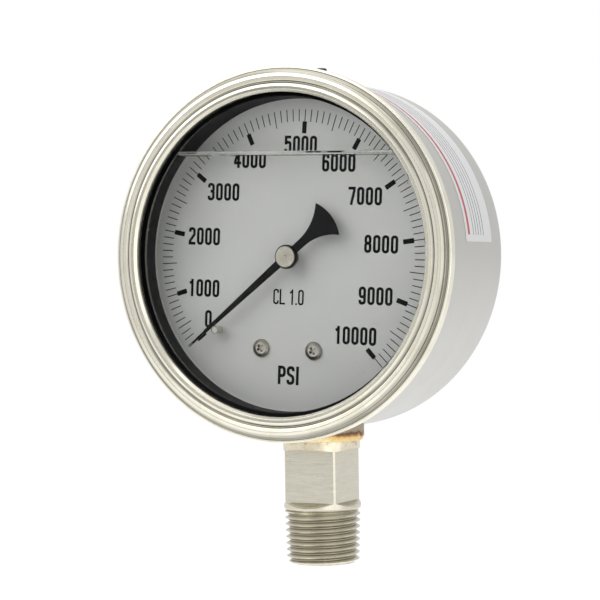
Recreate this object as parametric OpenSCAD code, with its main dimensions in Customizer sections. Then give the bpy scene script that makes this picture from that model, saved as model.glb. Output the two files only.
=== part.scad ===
// Liquid-filled dial pressure gauge with a bottom connection, coiled tube and geared movement.
// Millimetres. Origin: centre of the connection's open end. +Z up the stem, the dial faces -Y.

/* [Connection] */
// Crest radius of the pipe thread at its open end
thread_end_r = 10.36; // [9:0.02:10.6]
// Length of the pipe thread
thread_len = 15; // [10:0.5:20]
// Thread pitch
thread_pitch = 1.814; // [1:0.002:2.5]
// Thread depth, crest to root
thread_depth = 1.3; // [0.8:0.05:1.6]
// Radius gained for each millimetre up the taper
thread_taper = 0.03125; // [0:0.00125:0.04]
// Radius of the round stem bar
stem_r = 11; // [10.9:0.1:13]
// Height of the plain collar over the thread
collar_h = 2.4; // [1:0.1:6]
// Distance across the wrench flats
flat_across = 16; // [13:0.5:20]
// Height of the wrench flats
flat_h = 14.6; // [6:0.2:25]
// Height of the round neck between the flats and the case
neck_h = 6; // [4.5:0.1:15]
// Radius of the pressure port
port_r = 2.75; // [2.65:0.05:5]
// Depth of the pressure port
port_depth = 15; // [8:0.5:25]
// Length of the restrictor
restrictor_len = 5; // [3:0.5:8]
// Radius of the restrictor's fine hole
restrictor_hole_r = 0.4; // [0.2:0.05:0.8]
// Radius of the passage up the stem
passage_r = 1.5; // [1:0.05:1.8]

/* [Case] */
// Outer radius of the case
case_r = 49.5; // [46:0.5:60]
// Sheet thickness of the case
case_wall = 0.9; // [0.5:0.1:2]
// Outer radius of the case's rear corner
case_corner_r = 4; // [2:0.5:8]
// Free depth between the coiled tube and the case's rear wall
back_room = 4.4; // [2:0.2:15]
// Distance of the movement's seat in front of the stem axis
movement_reach = 2.4; // [2.2:0.1:6]
// Width of the weld bead round the neck
weld_w = 1.6; // [1:0.1:2.5]
// Height of the weld bead under the case
weld_drop = 3.2; // [2:0.1:4]
// Distance of the fill plug behind the stem axis
plug_y = 3.5; // [-8:0.5:8]
// Radius of the fill hole
plug_hole_r = 4; // [3:0.25:6]
// How far the fill plug's head reaches past its hole
plug_lip_w = 2; // [1:0.25:4]
// Height of the fill plug's head over the case
plug_head_h = 1.9; // [1.2:0.1:5]
// Height of the fill plug's pull tip
plug_tip_h = 2.3; // [1.2:0.1:6]

/* [Bezel and window] */
// How far the bezel's raised face reaches outside the case
bezel_face_w = 0.8; // [0.2:0.1:1.6]
// How far the bezel's flange reaches outside the case
bezel_flange_w = 2.4; // [1.9:0.1:6]
// How far the bezel's lip reaches in from the outside of the case
bezel_lip_w = 4.8; // [3.6:0.1:8]
// Distance of the face's groove in from the outside of the case
bezel_groove_w = 2.1; // [0.6:0.1:3.2]
// Thickness of the bezel's lip
bezel_lip_t = 1.8; // [1.2:0.1:3]
// Height of the bezel's raised face over its flange
bezel_face_h = 1.9; // [1.4:0.1:3]
// Depth of the bezel's flange along the case
bezel_flange_h = 2.8; // [1.5:0.1:6]
// Thickness of the window
window_t = 3; // [2:0.1:6]
// Width of the black gasket sleeve
gasket_w = 5; // [2:0.1:7]

/* [Dial and pointer] */
// Free depth between the window and the dial's face
dial_depth = 9.3; // [6.5:0.1:15]
// Drop of the dial's centre under the case axis
dial_drop = 0.6; // [0:0.1:2]
// Turn of the dial, clockwise from the front
dial_turn = 3; // [0:0.5:6]
// Gap between the dial's edge and the case
dial_margin = 3.7; // [2.5:0.1:8]
// Thickness of the dial
dial_t = 0.8; // [0.5:0.1:2]
// Distance between the two dial screws
dial_screw_pitch = 16.4; // [12:0.2:22]
// Drop of the dial screws under the dial's centre
dial_screw_drop = 25.8; // [24.6:0.1:28]
// Head radius of the dial screws
dial_screw_head_r = 2.55; // [2:0.05:4]
// Shank radius of the dial screws
dial_screw_r = 1.25; // [0.8:0.05:1.6]
// Angle from straight up to either end of the scale
scale_half = 135; // [100:5:150]
// Angle that the zero mark lies inside the scale's end
zero_shift = 4; // [0:0.5:10]
// Length of the pointer from the axis to its tip
pointer_len = 38.7; // [32:0.1:42]
// Length of the pointer's fine tip
tip_len = 5.2; // [2:0.1:10]
// Width of the arm where it leaves the hub
arm_root_w = 2.4; // [1.5:0.1:4]
// Width of the arm at its outer end
arm_end_w = 1; // [0.6:0.1:1.5]
// Width of the fine tip
tip_w = 0.55; // [0.3:0.05:0.8]
// Radius of the fan-shaped tail
tail_r = 17.8; // [14:0.1:24]
// Radius of the curve of the tail's end
tail_end_r = 12.3; // [9:0.1:20]
// Width of the tail's end
tail_w = 11.4; // [8:0.1:16]
// Thickness of the pointer's blade
blade_t = 0.5; // [0.3:0.05:1]
// Height of the blade over the dial
blade_lift = 3.5; // [2:0.1:6]
// Radius of the hub's cap
hub_cap_r = 3; // [2.2:0.05:5]
// Distance of the stop pin in from the end of the broad arm
stop_inset = 3; // [1.5:0.1:12]
// Radius of the stop pin
stop_pin_r = 1.1; // [0.9:0.05:2]

/* [Movement] */
// Thickness of the two movement plates
plate_t = 1.2; // [0.8:0.05:2]
// Free depth between the movement plates
plate_gap = 6.5; // [6.2:0.1:12]
// Gap between the dial and the front plate
dial_room = 0.8; // [0.7:0.1:4]
// Gear module
gear_module = 0.35; // [0.3:0.01:0.4]
// Teeth on the pinion
pinion_teeth = 12; // [10:1:16]
// Teeth on the full circle of the sector
sector_teeth = 108; // [90:6:126]
// Thickness of the sector gear
sector_t = 1.4; // [0.8:0.1:2.2]
// Length of the sector's tail arm
tail_arm = 7; // [5:0.1:9]
// Length of the link between its two eyes
link_len = 12.3; // [10:0.1:16]
// Thickness of the link
link_t = 0.8; // [0.5:0.05:1.5]
// Radius of the arbors
arbor_r = 0.75; // [0.5:0.05:1.1]
// Radius of the pillars between the plates
pillar_r = 2; // [1.5:0.05:3]
// Outer radius of the hairspring
hair_r = 7.5; // [5:0.1:9]
// Turns of the hairspring
hair_turns = 4.5; // [3:0.5:6]

/* [Coiled tube] */
// Mean radius of the coil
coil_r = 24; // [21:0.5:28]
// Gap between the turns of the coil
coil_gap = 0.8; // [0.3:0.1:3]
// Width of the flattened tube along the coil's axis
tube_w = 4; // [3:0.1:7]
// Thickness of the flattened tube across the coil
tube_t = 2.2; // [1.6:0.1:3.5]
// Wall thickness of the tube
tube_wall = 0.4; // [0.2:0.05:0.6]

/* [Label] */
// Lower end of the side label, angle up from level
label_from = 3; // [0:1:20]
// Upper end of the side label, angle up from level
label_to = 72; // [40:1:80]
// Width of the side label along the case
label_w = 18; // [10:0.5:28]

/* [Hidden] */

$fn = 96;
// Fits and clearances, radial or face to face
press_gap = 0.02;
running_gap = 0.05;
seat_gap = 0.1;
wash_gap = 0.2;
free_gap = 0.3;
pane_gap = 0.4;
open_pivot_gap = 0.2;
past = 1;

// Heights up the stem and the case
collar_z = thread_len + collar_h;
case_bottom_z = collar_z + flat_h + neck_h;
case_h = case_bottom_z + case_r;
arbor_z = case_h - dial_drop;

// Gear train, seen from the front with X right and Z up, angles anticlockwise from +X
pressure_angle = 25;
addendum = 0.75 * gear_module;
dedendum = gear_module;
backlash = 0.08;
centre_distance = gear_module * (pinion_teeth + sector_teeth) / 2;
train_angle = 45;
pivot = -centre_distance * [cos(train_angle), sin(train_angle)];
pointer_travel = 2 * scale_half - zero_shift;
zero_angle = 90 + scale_half - zero_shift;
sector_swing = pointer_travel * pinion_teeth / sector_teeth;
sector_rest = train_angle - sector_swing / 2;
sector_spare = 5.2;
sector_span = sector_swing + 2 * sector_spare;
tooth_step = 360 / sector_teeth;

// Linkage at rest, from the axis of the pointer
tail_mid = 189;
tail_rest = tail_mid - sector_swing / 2;
tail_eye = pivot + tail_arm * [cos(tail_rest), sin(tail_rest)];
tail_eye_d = norm(tail_eye);
tip_squares = coil_r * coil_r + tail_eye_d * tail_eye_d - link_len * link_len;
tip_corner = acos(tip_squares / (2 * coil_r * tail_eye_d));
tip_rest = 180 + atan2(-tail_eye[1], -tail_eye[0]) - tip_corner;
tip_eye = coil_r * [cos(tip_rest), sin(tip_rest)];
link_angle = atan2(tip_eye[1] - tail_eye[1], tip_eye[0] - tail_eye[0]);
cap_before = 4.2;
cap_after = 5.8;
coil_end = tip_rest + cap_before;
coil_start = 270;
coil_sweep = 720 + coil_start - coil_end;
coil_pitch = tube_w + coil_gap;

// Depths, forward from the movement's seat to the bezel's face
holder_y = -movement_reach;
rear_plate_y = holder_y - plate_t;
plates_y = rear_plate_y - plate_gap;
front_plate_y = plates_y - plate_t;
dial_y = front_plate_y - dial_room - dial_t;
gasket_y = dial_y - dial_depth;
gasket_end_y = dial_y - free_gap;
window_y = gasket_y - window_t;
case_front_y = window_y + free_gap;
face_y = window_y - bezel_lip_t;
flange_y = face_y + bezel_face_h;
flange_end_y = flange_y + bezel_flange_h;

// Depths between the plates
sector_room = 1.6;
link_room = 0.5;
hair_h = 1;
hair_room = 1;
sector_y = plates_y + sector_room;
link_y = sector_y + sector_t + link_room;
hair_y = rear_plate_y - hair_room - hair_h;

// Depths, back from the movement's seat to the case's rear wall
coil_room = 1.7;
holder_rear_room = 0.5;
coil_front_y = holder_y + coil_room + tube_w / 2;
coil_back_y = coil_front_y + coil_pitch * coil_sweep / 360;
holder_back_y = coil_back_y + tube_w / 2 + holder_rear_room;
case_back_y = coil_back_y + tube_w / 2 + back_room + case_wall;

// Stem, holder and passages
collar_chamfer = 0.7;
case_inner_r = case_r - case_wall;
bar_rise = 4;
bar_top_z = case_bottom_z + bar_rise;
tube_z = arbor_z - coil_r;
holder_drop = 1.8;
holder_top_z = tube_z - tube_t / 2 - holder_drop;
holder_w = 21;
cross_z = holder_top_z - 5;
lug_len = 9.5;
lug_y = coil_back_y - tube_w / 2 - wash_gap;
lug_top_z = tube_z + tube_t / 2 + 2.4;
restrictor_bore_r = passage_r + 0.75;
cross_r = passage_r + 0.25;
plug_len = 2;
plug_bore_r = cross_r + 0.5;
riser_r = 1.1;
riser_x = cross_r + riser_r - 0.8;
riser_y = holder_back_y - plug_len - riser_r - seat_gap;
riser_spare = 0.4;
side_bore_r = 0.65;

// Screws that hold the movement to its seat
foot_screw_r = 1.5;
foot_head_r = 2.6;
foot_head_h = 1.4;
foot_screw_len = 5;
foot_screw_x = 7;
foot_screw_drop = 7;
foot_screw_at = [for (side = [-1, 1]) [side * foot_screw_x, holder_top_z - arbor_z - foot_screw_drop]];

// Arbors, bushes and the pins of the link
bush_r = arbor_r + 1.05;
collar_r = arbor_r + 0.6;
link_pin_r = 0.8;
link_head_r = 1.5;
link_head_h = 0.5;
rivet_grip = 2;
eye_r = 1.8;

// Hairspring, its collet and its stud
collet_r = arbor_r + 1.35;
strip_t = 0.18;
hair_inner_r = collet_r + strip_t / 2 + press_gap;
stud_r = 0.9;
stud_angle = 30;
stud_at = (hair_r + strip_t / 2 + press_gap + stud_r) * [cos(stud_angle), sin(stud_angle)];

// Pillars, clear of the hairspring and of the sector, and their screws
spigot_r = 1.3;
spring_clear = 1.3;
pillar_reach = hair_r + pillar_r + spring_clear;
right_pillar_spare = 4;
sector_pillar_r = 0.64 * centre_distance;
pillar_at = [
    (pillar_reach + right_pillar_spare) * [cos(-32), sin(-32)],
    pillar_reach * [cos(112), sin(112)],
    pivot + sector_pillar_r * [cos(-18), sin(-18)]];
screw_r = 0.9;
screw_head_r = 1.7;
screw_head_h = 0.6;
screw_len = 2.5;

// Dial posts and their screws
post_r = dial_screw_r + 0.95;
post_at = [for (side = [-1, 1]) [side * dial_screw_pitch / 2, -dial_screw_drop]];
dial_screw_len = 6;
dial_head_h = 1.3;
dial_hole_r = arbor_r + 1.85;
dial_r = case_inner_r - dial_margin;

// Pointer and its stop
blade_y = dial_y - blade_lift;
boss_r = hub_cap_r + 0.35;
boss_back_y = blade_y + 0.5;
boss_front_y = blade_y - blade_t - 0.6;
cap_h = 0.8;
hub_spigot_r = arbor_r + 0.85;
arm_len = pointer_len - tip_len;
stop_r = arm_len - stop_inset;
arm_w_at_stop = arm_root_w + (arm_end_w - arm_root_w) * stop_r / arm_len;
stop_angle = zero_angle + asin((stop_pin_r + arm_w_at_stop / 2 + running_gap) / stop_r);
stop_shank_r = stop_pin_r - 0.35;
neck_w = 2.4;
neck_len = 6;

// ---- Placing helpers ----
module on_case() translate([0, 0, case_h]) children();
module on_arbor() translate([0, 0, arbor_z]) children();
module on_dial() on_arbor() rotate([0, dial_turn, 0]) children();
module at(p) translate([p[0], 0, p[1]]) children();
// Turns its children anticlockwise, seen from the front
module aimed(angle) rotate([0, -angle, 0]) children();
// A flat outline in X and Z, between two depths
module slab(y0, y1) translate([0, y1, 0]) rotate([90, 0, 0]) linear_extrude(y1 - y0) children();
// A turned shape round the Y axis, from points of radius and depth
module turned(points) rotate([90, 0, 0]) rotate_extrude() polygon([for (p = points) [p[0], -p[1]]]);
// A rod along Y between two depths
module rod(r, y0, y1) translate([0, y1, 0]) rotate([90, 0, 0]) cylinder(r = r, h = y1 - y0);
// A hollow rod along Y between two depths
module bush(outer, inner, y0, y1) difference() {
    rod(outer, y0, y1);
    rod(inner, y0 - past, y1 + past);
}

// ---- Case, bezel and window ----
// Points round a rear corner, from the side wall to the rear wall
function corner(r, y, c) = [for (a = [0 : 15 : 90]) [r - c + c * cos(a), y - c + c * sin(a)]];
function reversed(list) = [for (i = [len(list) - 1 : -1 : 0]) list[i]];

module case_shell() {
    inner_corner = max(case_corner_r - case_wall, 0.5);
    color([0.74, 0.74, 0.72]) difference() {
        on_case() turned(concat(
            [[case_inner_r, case_front_y], [case_r, case_front_y]],
            corner(case_r, case_back_y, case_corner_r),
            [[0, case_back_y], [0, case_back_y - case_wall]],
            reversed(corner(case_inner_r, case_back_y - case_wall, inner_corner))));
        cylinder(r = stem_r + seat_gap, h = case_h);
        translate([0, plug_y, case_h]) cylinder(r = plug_hole_r, h = case_r + past);
    }
}

module bezel_ring() {
    lip_r = case_r - bezel_lip_w;
    groove_r = case_r - bezel_groove_w;
    face_r = case_r + bezel_face_w;
    flange_r = case_r + bezel_flange_w;
    lip_bevel = 0.9;
    groove = 0.4;
    rim_bevel = 0.8;
    edge = 0.2;
    color([0.86, 0.85, 0.80]) on_case() turned([
        [lip_r, face_y + 0.8 * lip_bevel],
        [lip_r + lip_bevel, face_y],
        [groove_r - groove, face_y],
        [groove_r, face_y + groove],
        [groove_r + groove, face_y],
        [face_r - rim_bevel, face_y + edge / 2],
        [face_r, face_y + rim_bevel],
        [face_r, flange_y],
        [flange_r - edge, flange_y],
        [flange_r, flange_y + edge],
        [flange_r, flange_end_y - edge],
        [flange_r - edge, flange_end_y],
        [case_r + seat_gap, flange_end_y],
        [case_r + seat_gap, window_y],
        [lip_r, window_y]]);
}

module window_pane() {
    color([0.85, 0.92, 0.93, 0.35]) on_case() rod(case_inner_r - pane_gap, window_y, gasket_y);
}

module window_gasket() {
    outer = case_inner_r - press_gap;
    color([0.13, 0.13, 0.13]) on_case() bush(outer, case_inner_r - gasket_w, gasket_y, gasket_end_y);
}

module fill_plug() {
    shank_r = plug_hole_r - seat_gap;
    head_r = plug_hole_r + plug_lip_w;
    grip = 2.5;
    skirt = 1;
    tip_r = 1.6;
    edge = 0.5;
    head_z = case_r + plug_head_h;
    color([0.08, 0.08, 0.08]) difference() {
        translate([0, plug_y, case_h]) rotate_extrude() polygon([
            [0, case_inner_r - grip],
            [shank_r, case_inner_r - grip],
            [shank_r, case_r - skirt],
            [head_r, case_r - skirt],
            [head_r, head_z - edge],
            [head_r - edge, head_z],
            [tip_r + edge, head_z],
            [tip_r, head_z + edge],
            [tip_r, head_z + plug_tip_h - edge],
            [tip_r - edge, head_z + plug_tip_h],
            [0, head_z + plug_tip_h]]);
        // Round its shank, the underside of the head follows the case
        difference() {
            on_case() rod(case_r + press_gap, case_front_y, case_back_y);
            translate([0, plug_y, case_h]) cylinder(r = shank_r, h = 2 * case_r);
        }
    }
}

module case_label() {
    label_t = 0.12;
    color([0.95, 0.95, 0.95]) on_case() aimed(label_from)
        translate([0, label_w / 2, 0]) rotate([90, 0, 0]) rotate_extrude(angle = label_to - label_from)
            translate([case_r + press_gap, 0]) square([label_t, label_w]);
}

// ---- Socket, weld and passages ----
// Radius of the thread's crests at a height
function crest_r(z) = thread_end_r + thread_taper * z;

// The pipe thread, drawn as a ring for each turn
module thread() {
    turns = floor(thread_len / thread_pitch);
    land = 0.06;
    overlap = 0.1;
    rotate_extrude() polygon(concat(
        [[0, 0]],
        [for (i = [0 : turns - 1]) for (p = [[0, thread_depth], [0.5 - land, 0], [0.5 + land, 0]])
            let (z = (i + p[0]) * thread_pitch) [crest_r(z) - p[1], z]],
        [for (z = [turns * thread_pitch, thread_len + overlap]) [crest_r(z) - thread_depth, z]],
        [[0, thread_len + overlap]]));
}

module socket_body() {
    bar_z = thread_len + collar_chamfer;
    thread();
    translate([0, 0, thread_len]) cylinder(r1 = stem_r - collar_chamfer, r2 = stem_r, h = collar_chamfer);
    translate([0, 0, bar_z]) cylinder(r = stem_r, h = bar_top_z - bar_z);
    translate([-holder_w / 2, holder_y, bar_top_z - past])
        cube([holder_w, holder_back_y - holder_y, holder_top_z - bar_top_z + past]);
    translate([0, lug_y, holder_top_z - past])
        cube([lug_len, holder_back_y - lug_y, lug_top_z - holder_top_z + past]);
}

module wrench_flats() {
    for (turn = [0 : 90 : 270]) rotate([0, 0, turn])
        translate([-stem_r - past, flat_across / 2, collar_z])
            cube([2 * (stem_r + past), stem_r, flat_h]);
}

module socket() {
    color([0.72, 0.71, 0.66]) difference() {
        socket_body();
        wrench_flats();
        translate([0, 0, -past]) cylinder(r = port_r, h = port_depth + past);
        translate([0, 0, port_depth - past]) cylinder(r = restrictor_bore_r, h = restrictor_len + past);
        translate([0, 0, port_depth]) cylinder(r = passage_r, h = cross_z - port_depth);
        at([0, cross_z]) rod(cross_r, -passage_r / 2, holder_back_y - past);
        at([0, cross_z]) rod(plug_bore_r, holder_back_y - plug_len, holder_back_y + past);
        translate([riser_x, riser_y, cross_z])
            cylinder(r = riser_r, h = tube_z + side_bore_r + riser_spare - cross_z);
        translate([-past, coil_back_y, tube_z]) rotate([0, 90, 0])
            cylinder(r = side_bore_r, h = riser_x + past);
        on_arbor() for (p = foot_screw_at) at(p)
            rod(foot_screw_r + press_gap, holder_y - past, holder_y + foot_screw_len + press_gap);
    }
}

module weld_bead() {
    bottom = case_bottom_z - weld_drop;
    top = case_bottom_z + 3;
    bead_r = stem_r + weld_w;
    color([0.70, 0.58, 0.38]) difference() {
        rotate_extrude() polygon([
            [stem_r + press_gap, bottom],
            [bead_r - 0.55 * weld_w, bottom],
            [bead_r, bottom + 0.75 * weld_w],
            [bead_r, top],
            [stem_r + press_gap, top]]);
        on_case() rod(case_r + press_gap, case_front_y, case_back_y);
    }
}

module port_restrictor() {
    slot_w = 0.8;
    color([0.80, 0.66, 0.32]) difference() {
        translate([0, 0, port_depth]) cylinder(r = restrictor_bore_r - press_gap, h = restrictor_len);
        translate([0, 0, port_depth - past]) cylinder(r = restrictor_hole_r, h = restrictor_len + 2 * past);
        translate([-restrictor_bore_r, -slot_w / 2, port_depth - past])
            cube([2 * restrictor_bore_r, slot_w, past + slot_w]);
    }
}

module passage_plug() {
    slot_w = 0.8;
    color([0.68, 0.68, 0.66]) at([0, cross_z]) difference() {
        rod(plug_bore_r - press_gap, holder_back_y - plug_len, holder_back_y);
        translate([-plug_bore_r, holder_back_y - slot_w, -slot_w / 2])
            cube([2 * plug_bore_r, slot_w + past, slot_w]);
    }
}

// ---- Coiled tube ----
// A point on the tube's wall: ring i of the coil, point k of the oval, at an inset from the outside
function coil_point(i, k, inset) =
    let (turn = coil_sweep * i / coil_rings, a = 360 * k / oval_points,
         phi = coil_start - turn,
         r = coil_r + (tube_t / 2 - inset) * cos(a),
         y = coil_back_y - coil_pitch * turn / 360 + (tube_w / 2 - inset) * sin(a))
    [r * cos(phi), y, r * sin(phi)];

coil_rings = 66;
oval_points = 12;

module bourdon_tube() {
    n = oval_points;
    shell = (coil_rings + 1) * n;
    outer = [for (i = [0 : coil_rings]) for (k = [0 : n - 1]) coil_point(i, k, 0)];
    inner = [for (i = [0 : coil_rings]) for (k = [0 : n - 1]) coil_point(i, k, tube_wall)];
    walls = [for (i = [0 : coil_rings - 1]) for (k = [0 : n - 1])
        let (a = i * n + k, b = i * n + (k + 1) % n) [a, b, b + n, a + n]];
    ends = [for (k = [0 : n - 1]) for (e = [0, coil_rings * n])
        let (a = e + k, b = e + (k + 1) % n)
        e == 0 ? [b, a, a + shell, b + shell] : [a, b, b + shell, a + shell]];
    color([0.80, 0.72, 0.50]) on_arbor() polyhedron(
        concat(outer, inner),
        concat(walls, [for (f = walls) [for (j = [3 : -1 : 0]) f[j] + shell]], ends));
}

module tube_end_cap() {
    cap_wall = 0.4;
    cap_w = tube_w + 2 * cap_wall;
    cap_t = tube_t + 2 * cap_wall;
    ear_r = link_pin_r + 0.8;
    color([0.76, 0.75, 0.72]) on_arbor() {
        difference() {
            union() {
                aimed(tip_rest - cap_after) translate([0, coil_front_y + cap_w / 2, 0]) rotate([90, 0, 0])
                    rotate_extrude(angle = cap_before + cap_after)
                        translate([coil_r - cap_t / 2, 0]) square([cap_t, cap_w]);
                at(tip_eye) rod(ear_r, link_y + link_t + wash_gap, coil_front_y);
            }
            at(tip_eye) rod(link_pin_r + press_gap, link_y, link_y + link_t + rivet_grip);
        }
    }
}

module tip_rivet() {
    head_y = link_y - wash_gap;
    color([0.80, 0.80, 0.78]) on_arbor() at(tip_eye) {
        rod(link_pin_r, head_y, link_y + link_t + rivet_grip);
        rod(link_head_r, head_y - link_head_h, head_y);
    }
}

// ---- Movement frame ----
// The outline that runs at a margin round points listed clockwise, with an arc at each
function round_outline(points, margin) = [
    for (i = [0 : len(points) - 1])
        let (n = len(points), p = points[i],
             before = p - points[(i + n - 1) % n], after = points[(i + 1) % n] - p,
             start = atan2(before[1], before[0]) + 90,
             bend = (atan2(before[1], before[0]) - atan2(after[1], after[0]) + 360) % 360)
        for (step = [0 : 6]) p + margin * [cos(start - bend * step / 6), sin(start - bend * step / 6)]];

module movement_rear_plate() {
    margin = 4;
    outline = [pillar_at[1], stud_at, pillar_at[0], foot_screw_at[1], foot_screw_at[0], pivot];
    y0 = rear_plate_y - past;
    y1 = holder_y + past;
    color([0.82, 0.72, 0.42]) on_arbor() difference() {
        slab(rear_plate_y, holder_y) polygon(round_outline(outline, margin));
        for (p = [[0, 0], pivot]) at(p) rod(bush_r, y0, y1);
        for (p = pillar_at) at(p) rod(spigot_r, y0, y1);
        for (p = foot_screw_at) at(p) rod(foot_screw_r + seat_gap, y0, y1);
        at(stud_at) rod(stud_r - wash_gap, y0, y1);
        rotate([0, dial_turn, 0]) for (p = post_at) at(p) rod(spigot_r, y0, y1);
    }
}

module movement_front_plate() {
    margin = 3.8;
    outline = [pillar_at[1], pillar_at[0], pillar_at[2], pivot];
    y0 = front_plate_y - past;
    y1 = plates_y + past;
    color([0.82, 0.72, 0.42]) on_arbor() difference() {
        slab(front_plate_y, plates_y) polygon(round_outline(outline, margin));
        for (p = [[0, 0], pivot]) at(p) rod(bush_r, y0, y1);
        for (p = pillar_at) at(p) rod(screw_r + seat_gap, y0, y1);
    }
}

module movement_pillars() {
    color([0.80, 0.70, 0.40]) on_arbor() for (p = pillar_at) at(p) difference() {
        union() {
            rod(pillar_r, plates_y, rear_plate_y);
            rod(spigot_r - press_gap, rear_plate_y - past, holder_y);
        }
        rod(screw_r + press_gap, plates_y - past, plates_y + screw_len + press_gap);
    }
}

module plate_screws() {
    slot_w = 0.4;
    color([0.75, 0.75, 0.74]) on_arbor() for (p = pillar_at) at(p) difference() {
        union() {
            rod(screw_head_r, front_plate_y - screw_head_h, front_plate_y);
            rod(screw_r, front_plate_y - screw_head_h, plates_y + screw_len);
        }
        translate([-screw_head_r - past, front_plate_y - screw_head_h - past, -slot_w / 2])
            cube([2 * (screw_head_r + past), past + screw_head_h / 2, slot_w]);
    }
}

module movement_screws() {
    slot_w = 0.7;
    color([0.75, 0.75, 0.74]) on_arbor() for (p = foot_screw_at) at(p) difference() {
        union() {
            rod(foot_head_r, rear_plate_y - foot_head_h, rear_plate_y);
            rod(foot_screw_r, rear_plate_y - foot_head_h, holder_y + foot_screw_len);
        }
        translate([-foot_head_r - past, rear_plate_y - foot_head_h - past, -slot_w / 2])
            cube([2 * (foot_head_r + past), past + foot_head_h / 2, slot_w]);
    }
}

module arbor_bushes() {
    color([0.85, 0.62, 0.30]) on_arbor() for (p = [[0, 0], pivot]) at(p) {
        bush(bush_r - press_gap, arbor_r + running_gap, front_plate_y, plates_y);
        bush(bush_r - press_gap, arbor_r + running_gap, rear_plate_y, holder_y);
    }
}

module hairspring_stud() {
    color([0.80, 0.70, 0.40]) on_arbor() at(stud_at) {
        rod(stud_r, hair_y - free_gap, rear_plate_y);
        rod(stud_r - wash_gap - press_gap, rear_plate_y - past, holder_y);
    }
}

module hairspring() {
    steps = 24 * hair_turns;
    mid = [for (i = [0 : steps]) [stud_angle - 360 * hair_turns * (1 - i / steps),
        hair_inner_r + (hair_r - hair_inner_r) * i / steps]];
    edge = function (side) [for (m = mid) (m[1] + side * strip_t / 2) * [cos(m[0]), sin(m[0])]];
    color([0.55, 0.60, 0.70]) on_arbor() slab(hair_y, hair_y + hair_h)
        polygon(concat(edge(1), reversed(edge(-1))));
}

// ---- Gears and link ----
function involute(a) = tan(a) - a * PI / 180;

// Half the angle that a tooth spans at radius r
function tooth_half_angle(teeth, r) =
    let (pitch_r = gear_module * teeth / 2, base_r = pitch_r * cos(pressure_angle))
    90 / teeth - backlash / (4 * pitch_r) * 180 / PI
        + (involute(pressure_angle) - involute(acos(min(1, base_r / r)))) * 180 / PI;

// One tooth pointing along +X
module tooth(teeth) {
    pitch_r = gear_module * teeth / 2;
    root_r = pitch_r - dedendum;
    radii = [for (i = [0 : 4]) root_r + (pitch_r + addendum - root_r) * i / 4];
    flank = [for (r = radii) let (a = tooth_half_angle(teeth, r)) r * [cos(a), sin(a)]];
    polygon(concat(
        [[root_r - 0.3, -flank[0][1]]],
        [for (p = flank) [p[0], -p[1]]],
        reversed(flank),
        [[root_r - 0.3, flank[0][1]]]));
}

module wedge(r, half) polygon([[0, 0], r * [cos(half), -sin(half)], r * [cos(half), sin(half)]]);

module sector_outline() {
    root_r = gear_module * sector_teeth / 2 - dedendum;
    first = ceil((sector_rest - sector_span / 2 - train_angle) / tooth_step);
    last = floor((sector_rest + sector_span / 2 - train_angle) / tooth_step);
    rim = 2.2;
    spoke = 8;
    hub = collar_r + 1.65;
    tail_w = 2 * eye_r - 0.6;
    for (i = [first : last]) rotate(train_angle + i * tooth_step) tooth(sector_teeth);
    rotate(train_angle + (first + last) / 2 * tooth_step) difference() {
        intersection() {
            circle(root_r);
            wedge(2 * root_r, ((last - first) / 2 + 0.5) * tooth_step);
        }
        difference() {
            intersection() {
                circle(root_r - rim);
                wedge(2 * root_r, (last - first) / 2 * tooth_step - spoke);
            }
            circle(2 * hub);
        }
    }
    circle(hub);
    rotate(tail_rest) translate([0, -tail_w / 2]) square([tail_arm, tail_w]);
    rotate(tail_rest) translate([tail_arm, 0]) circle(eye_r);
}

module sector_gear() {
    color([0.84, 0.74, 0.44]) on_arbor() at(pivot) slab(sector_y, sector_y + sector_t) difference() {
        sector_outline();
        circle(arbor_r + press_gap);
        rotate(tail_rest) translate([tail_arm, 0]) circle(link_pin_r + press_gap);
    }
}

module sector_arbor() {
    color([0.78, 0.78, 0.77]) on_arbor() at(pivot) {
        rod(arbor_r, front_plate_y + wash_gap, holder_y - wash_gap);
        rod(collar_r, plates_y + wash_gap, sector_y);
        rod(collar_r, sector_y + sector_t, rear_plate_y - wash_gap);
    }
}

module tail_pin() {
    shoulder_r = link_head_r - 0.3;
    back_y = link_y + link_t + wash_gap;
    color([0.80, 0.80, 0.78]) on_arbor() at(tail_eye) {
        rod(link_pin_r, sector_y, back_y);
        rod(link_head_r, sector_y - link_head_h, sector_y);
        rod(shoulder_r, sector_y + sector_t, link_y - running_gap);
        rod(link_head_r, back_y, back_y + link_head_h);
    }
}

module link_bar() {
    bar_w = 2;
    color([0.76, 0.75, 0.72]) on_arbor() at(tail_eye) slab(link_y, link_y + link_t) rotate(link_angle)
        difference() {
            union() {
                translate([0, -bar_w / 2]) square([link_len, bar_w]);
                circle(eye_r);
                translate([link_len, 0]) circle(eye_r);
            }
            circle(link_pin_r + running_gap);
            translate([link_len, 0]) circle(link_pin_r + open_pivot_gap);
        }
}

module pinion_arbor() {
    face_spare = 0.45;
    pinion_y = sector_y - face_spare;
    pinion_end_y = sector_y + sector_t + face_spare;
    root_r = gear_module * pinion_teeth / 2 - dedendum;
    color([0.78, 0.78, 0.77]) on_arbor() {
        rod(arbor_r, boss_front_y, holder_y - wash_gap);
        rod(collar_r, plates_y + wash_gap, pinion_y);
        rod(collar_r, hair_y + hair_h + wash_gap, rear_plate_y - wash_gap);
        slab(pinion_y, pinion_end_y) {
            circle(root_r);
            for (i = [0 : pinion_teeth - 1]) rotate(180 + train_angle + (i + 0.5) * 360 / pinion_teeth)
                tooth(pinion_teeth);
        }
    }
}

module hairspring_collet() {
    color([0.82, 0.72, 0.42]) on_arbor()
        bush(collet_r, arbor_r + press_gap, hair_y - seat_gap, hair_y + hair_h + seat_gap);
}

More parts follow.
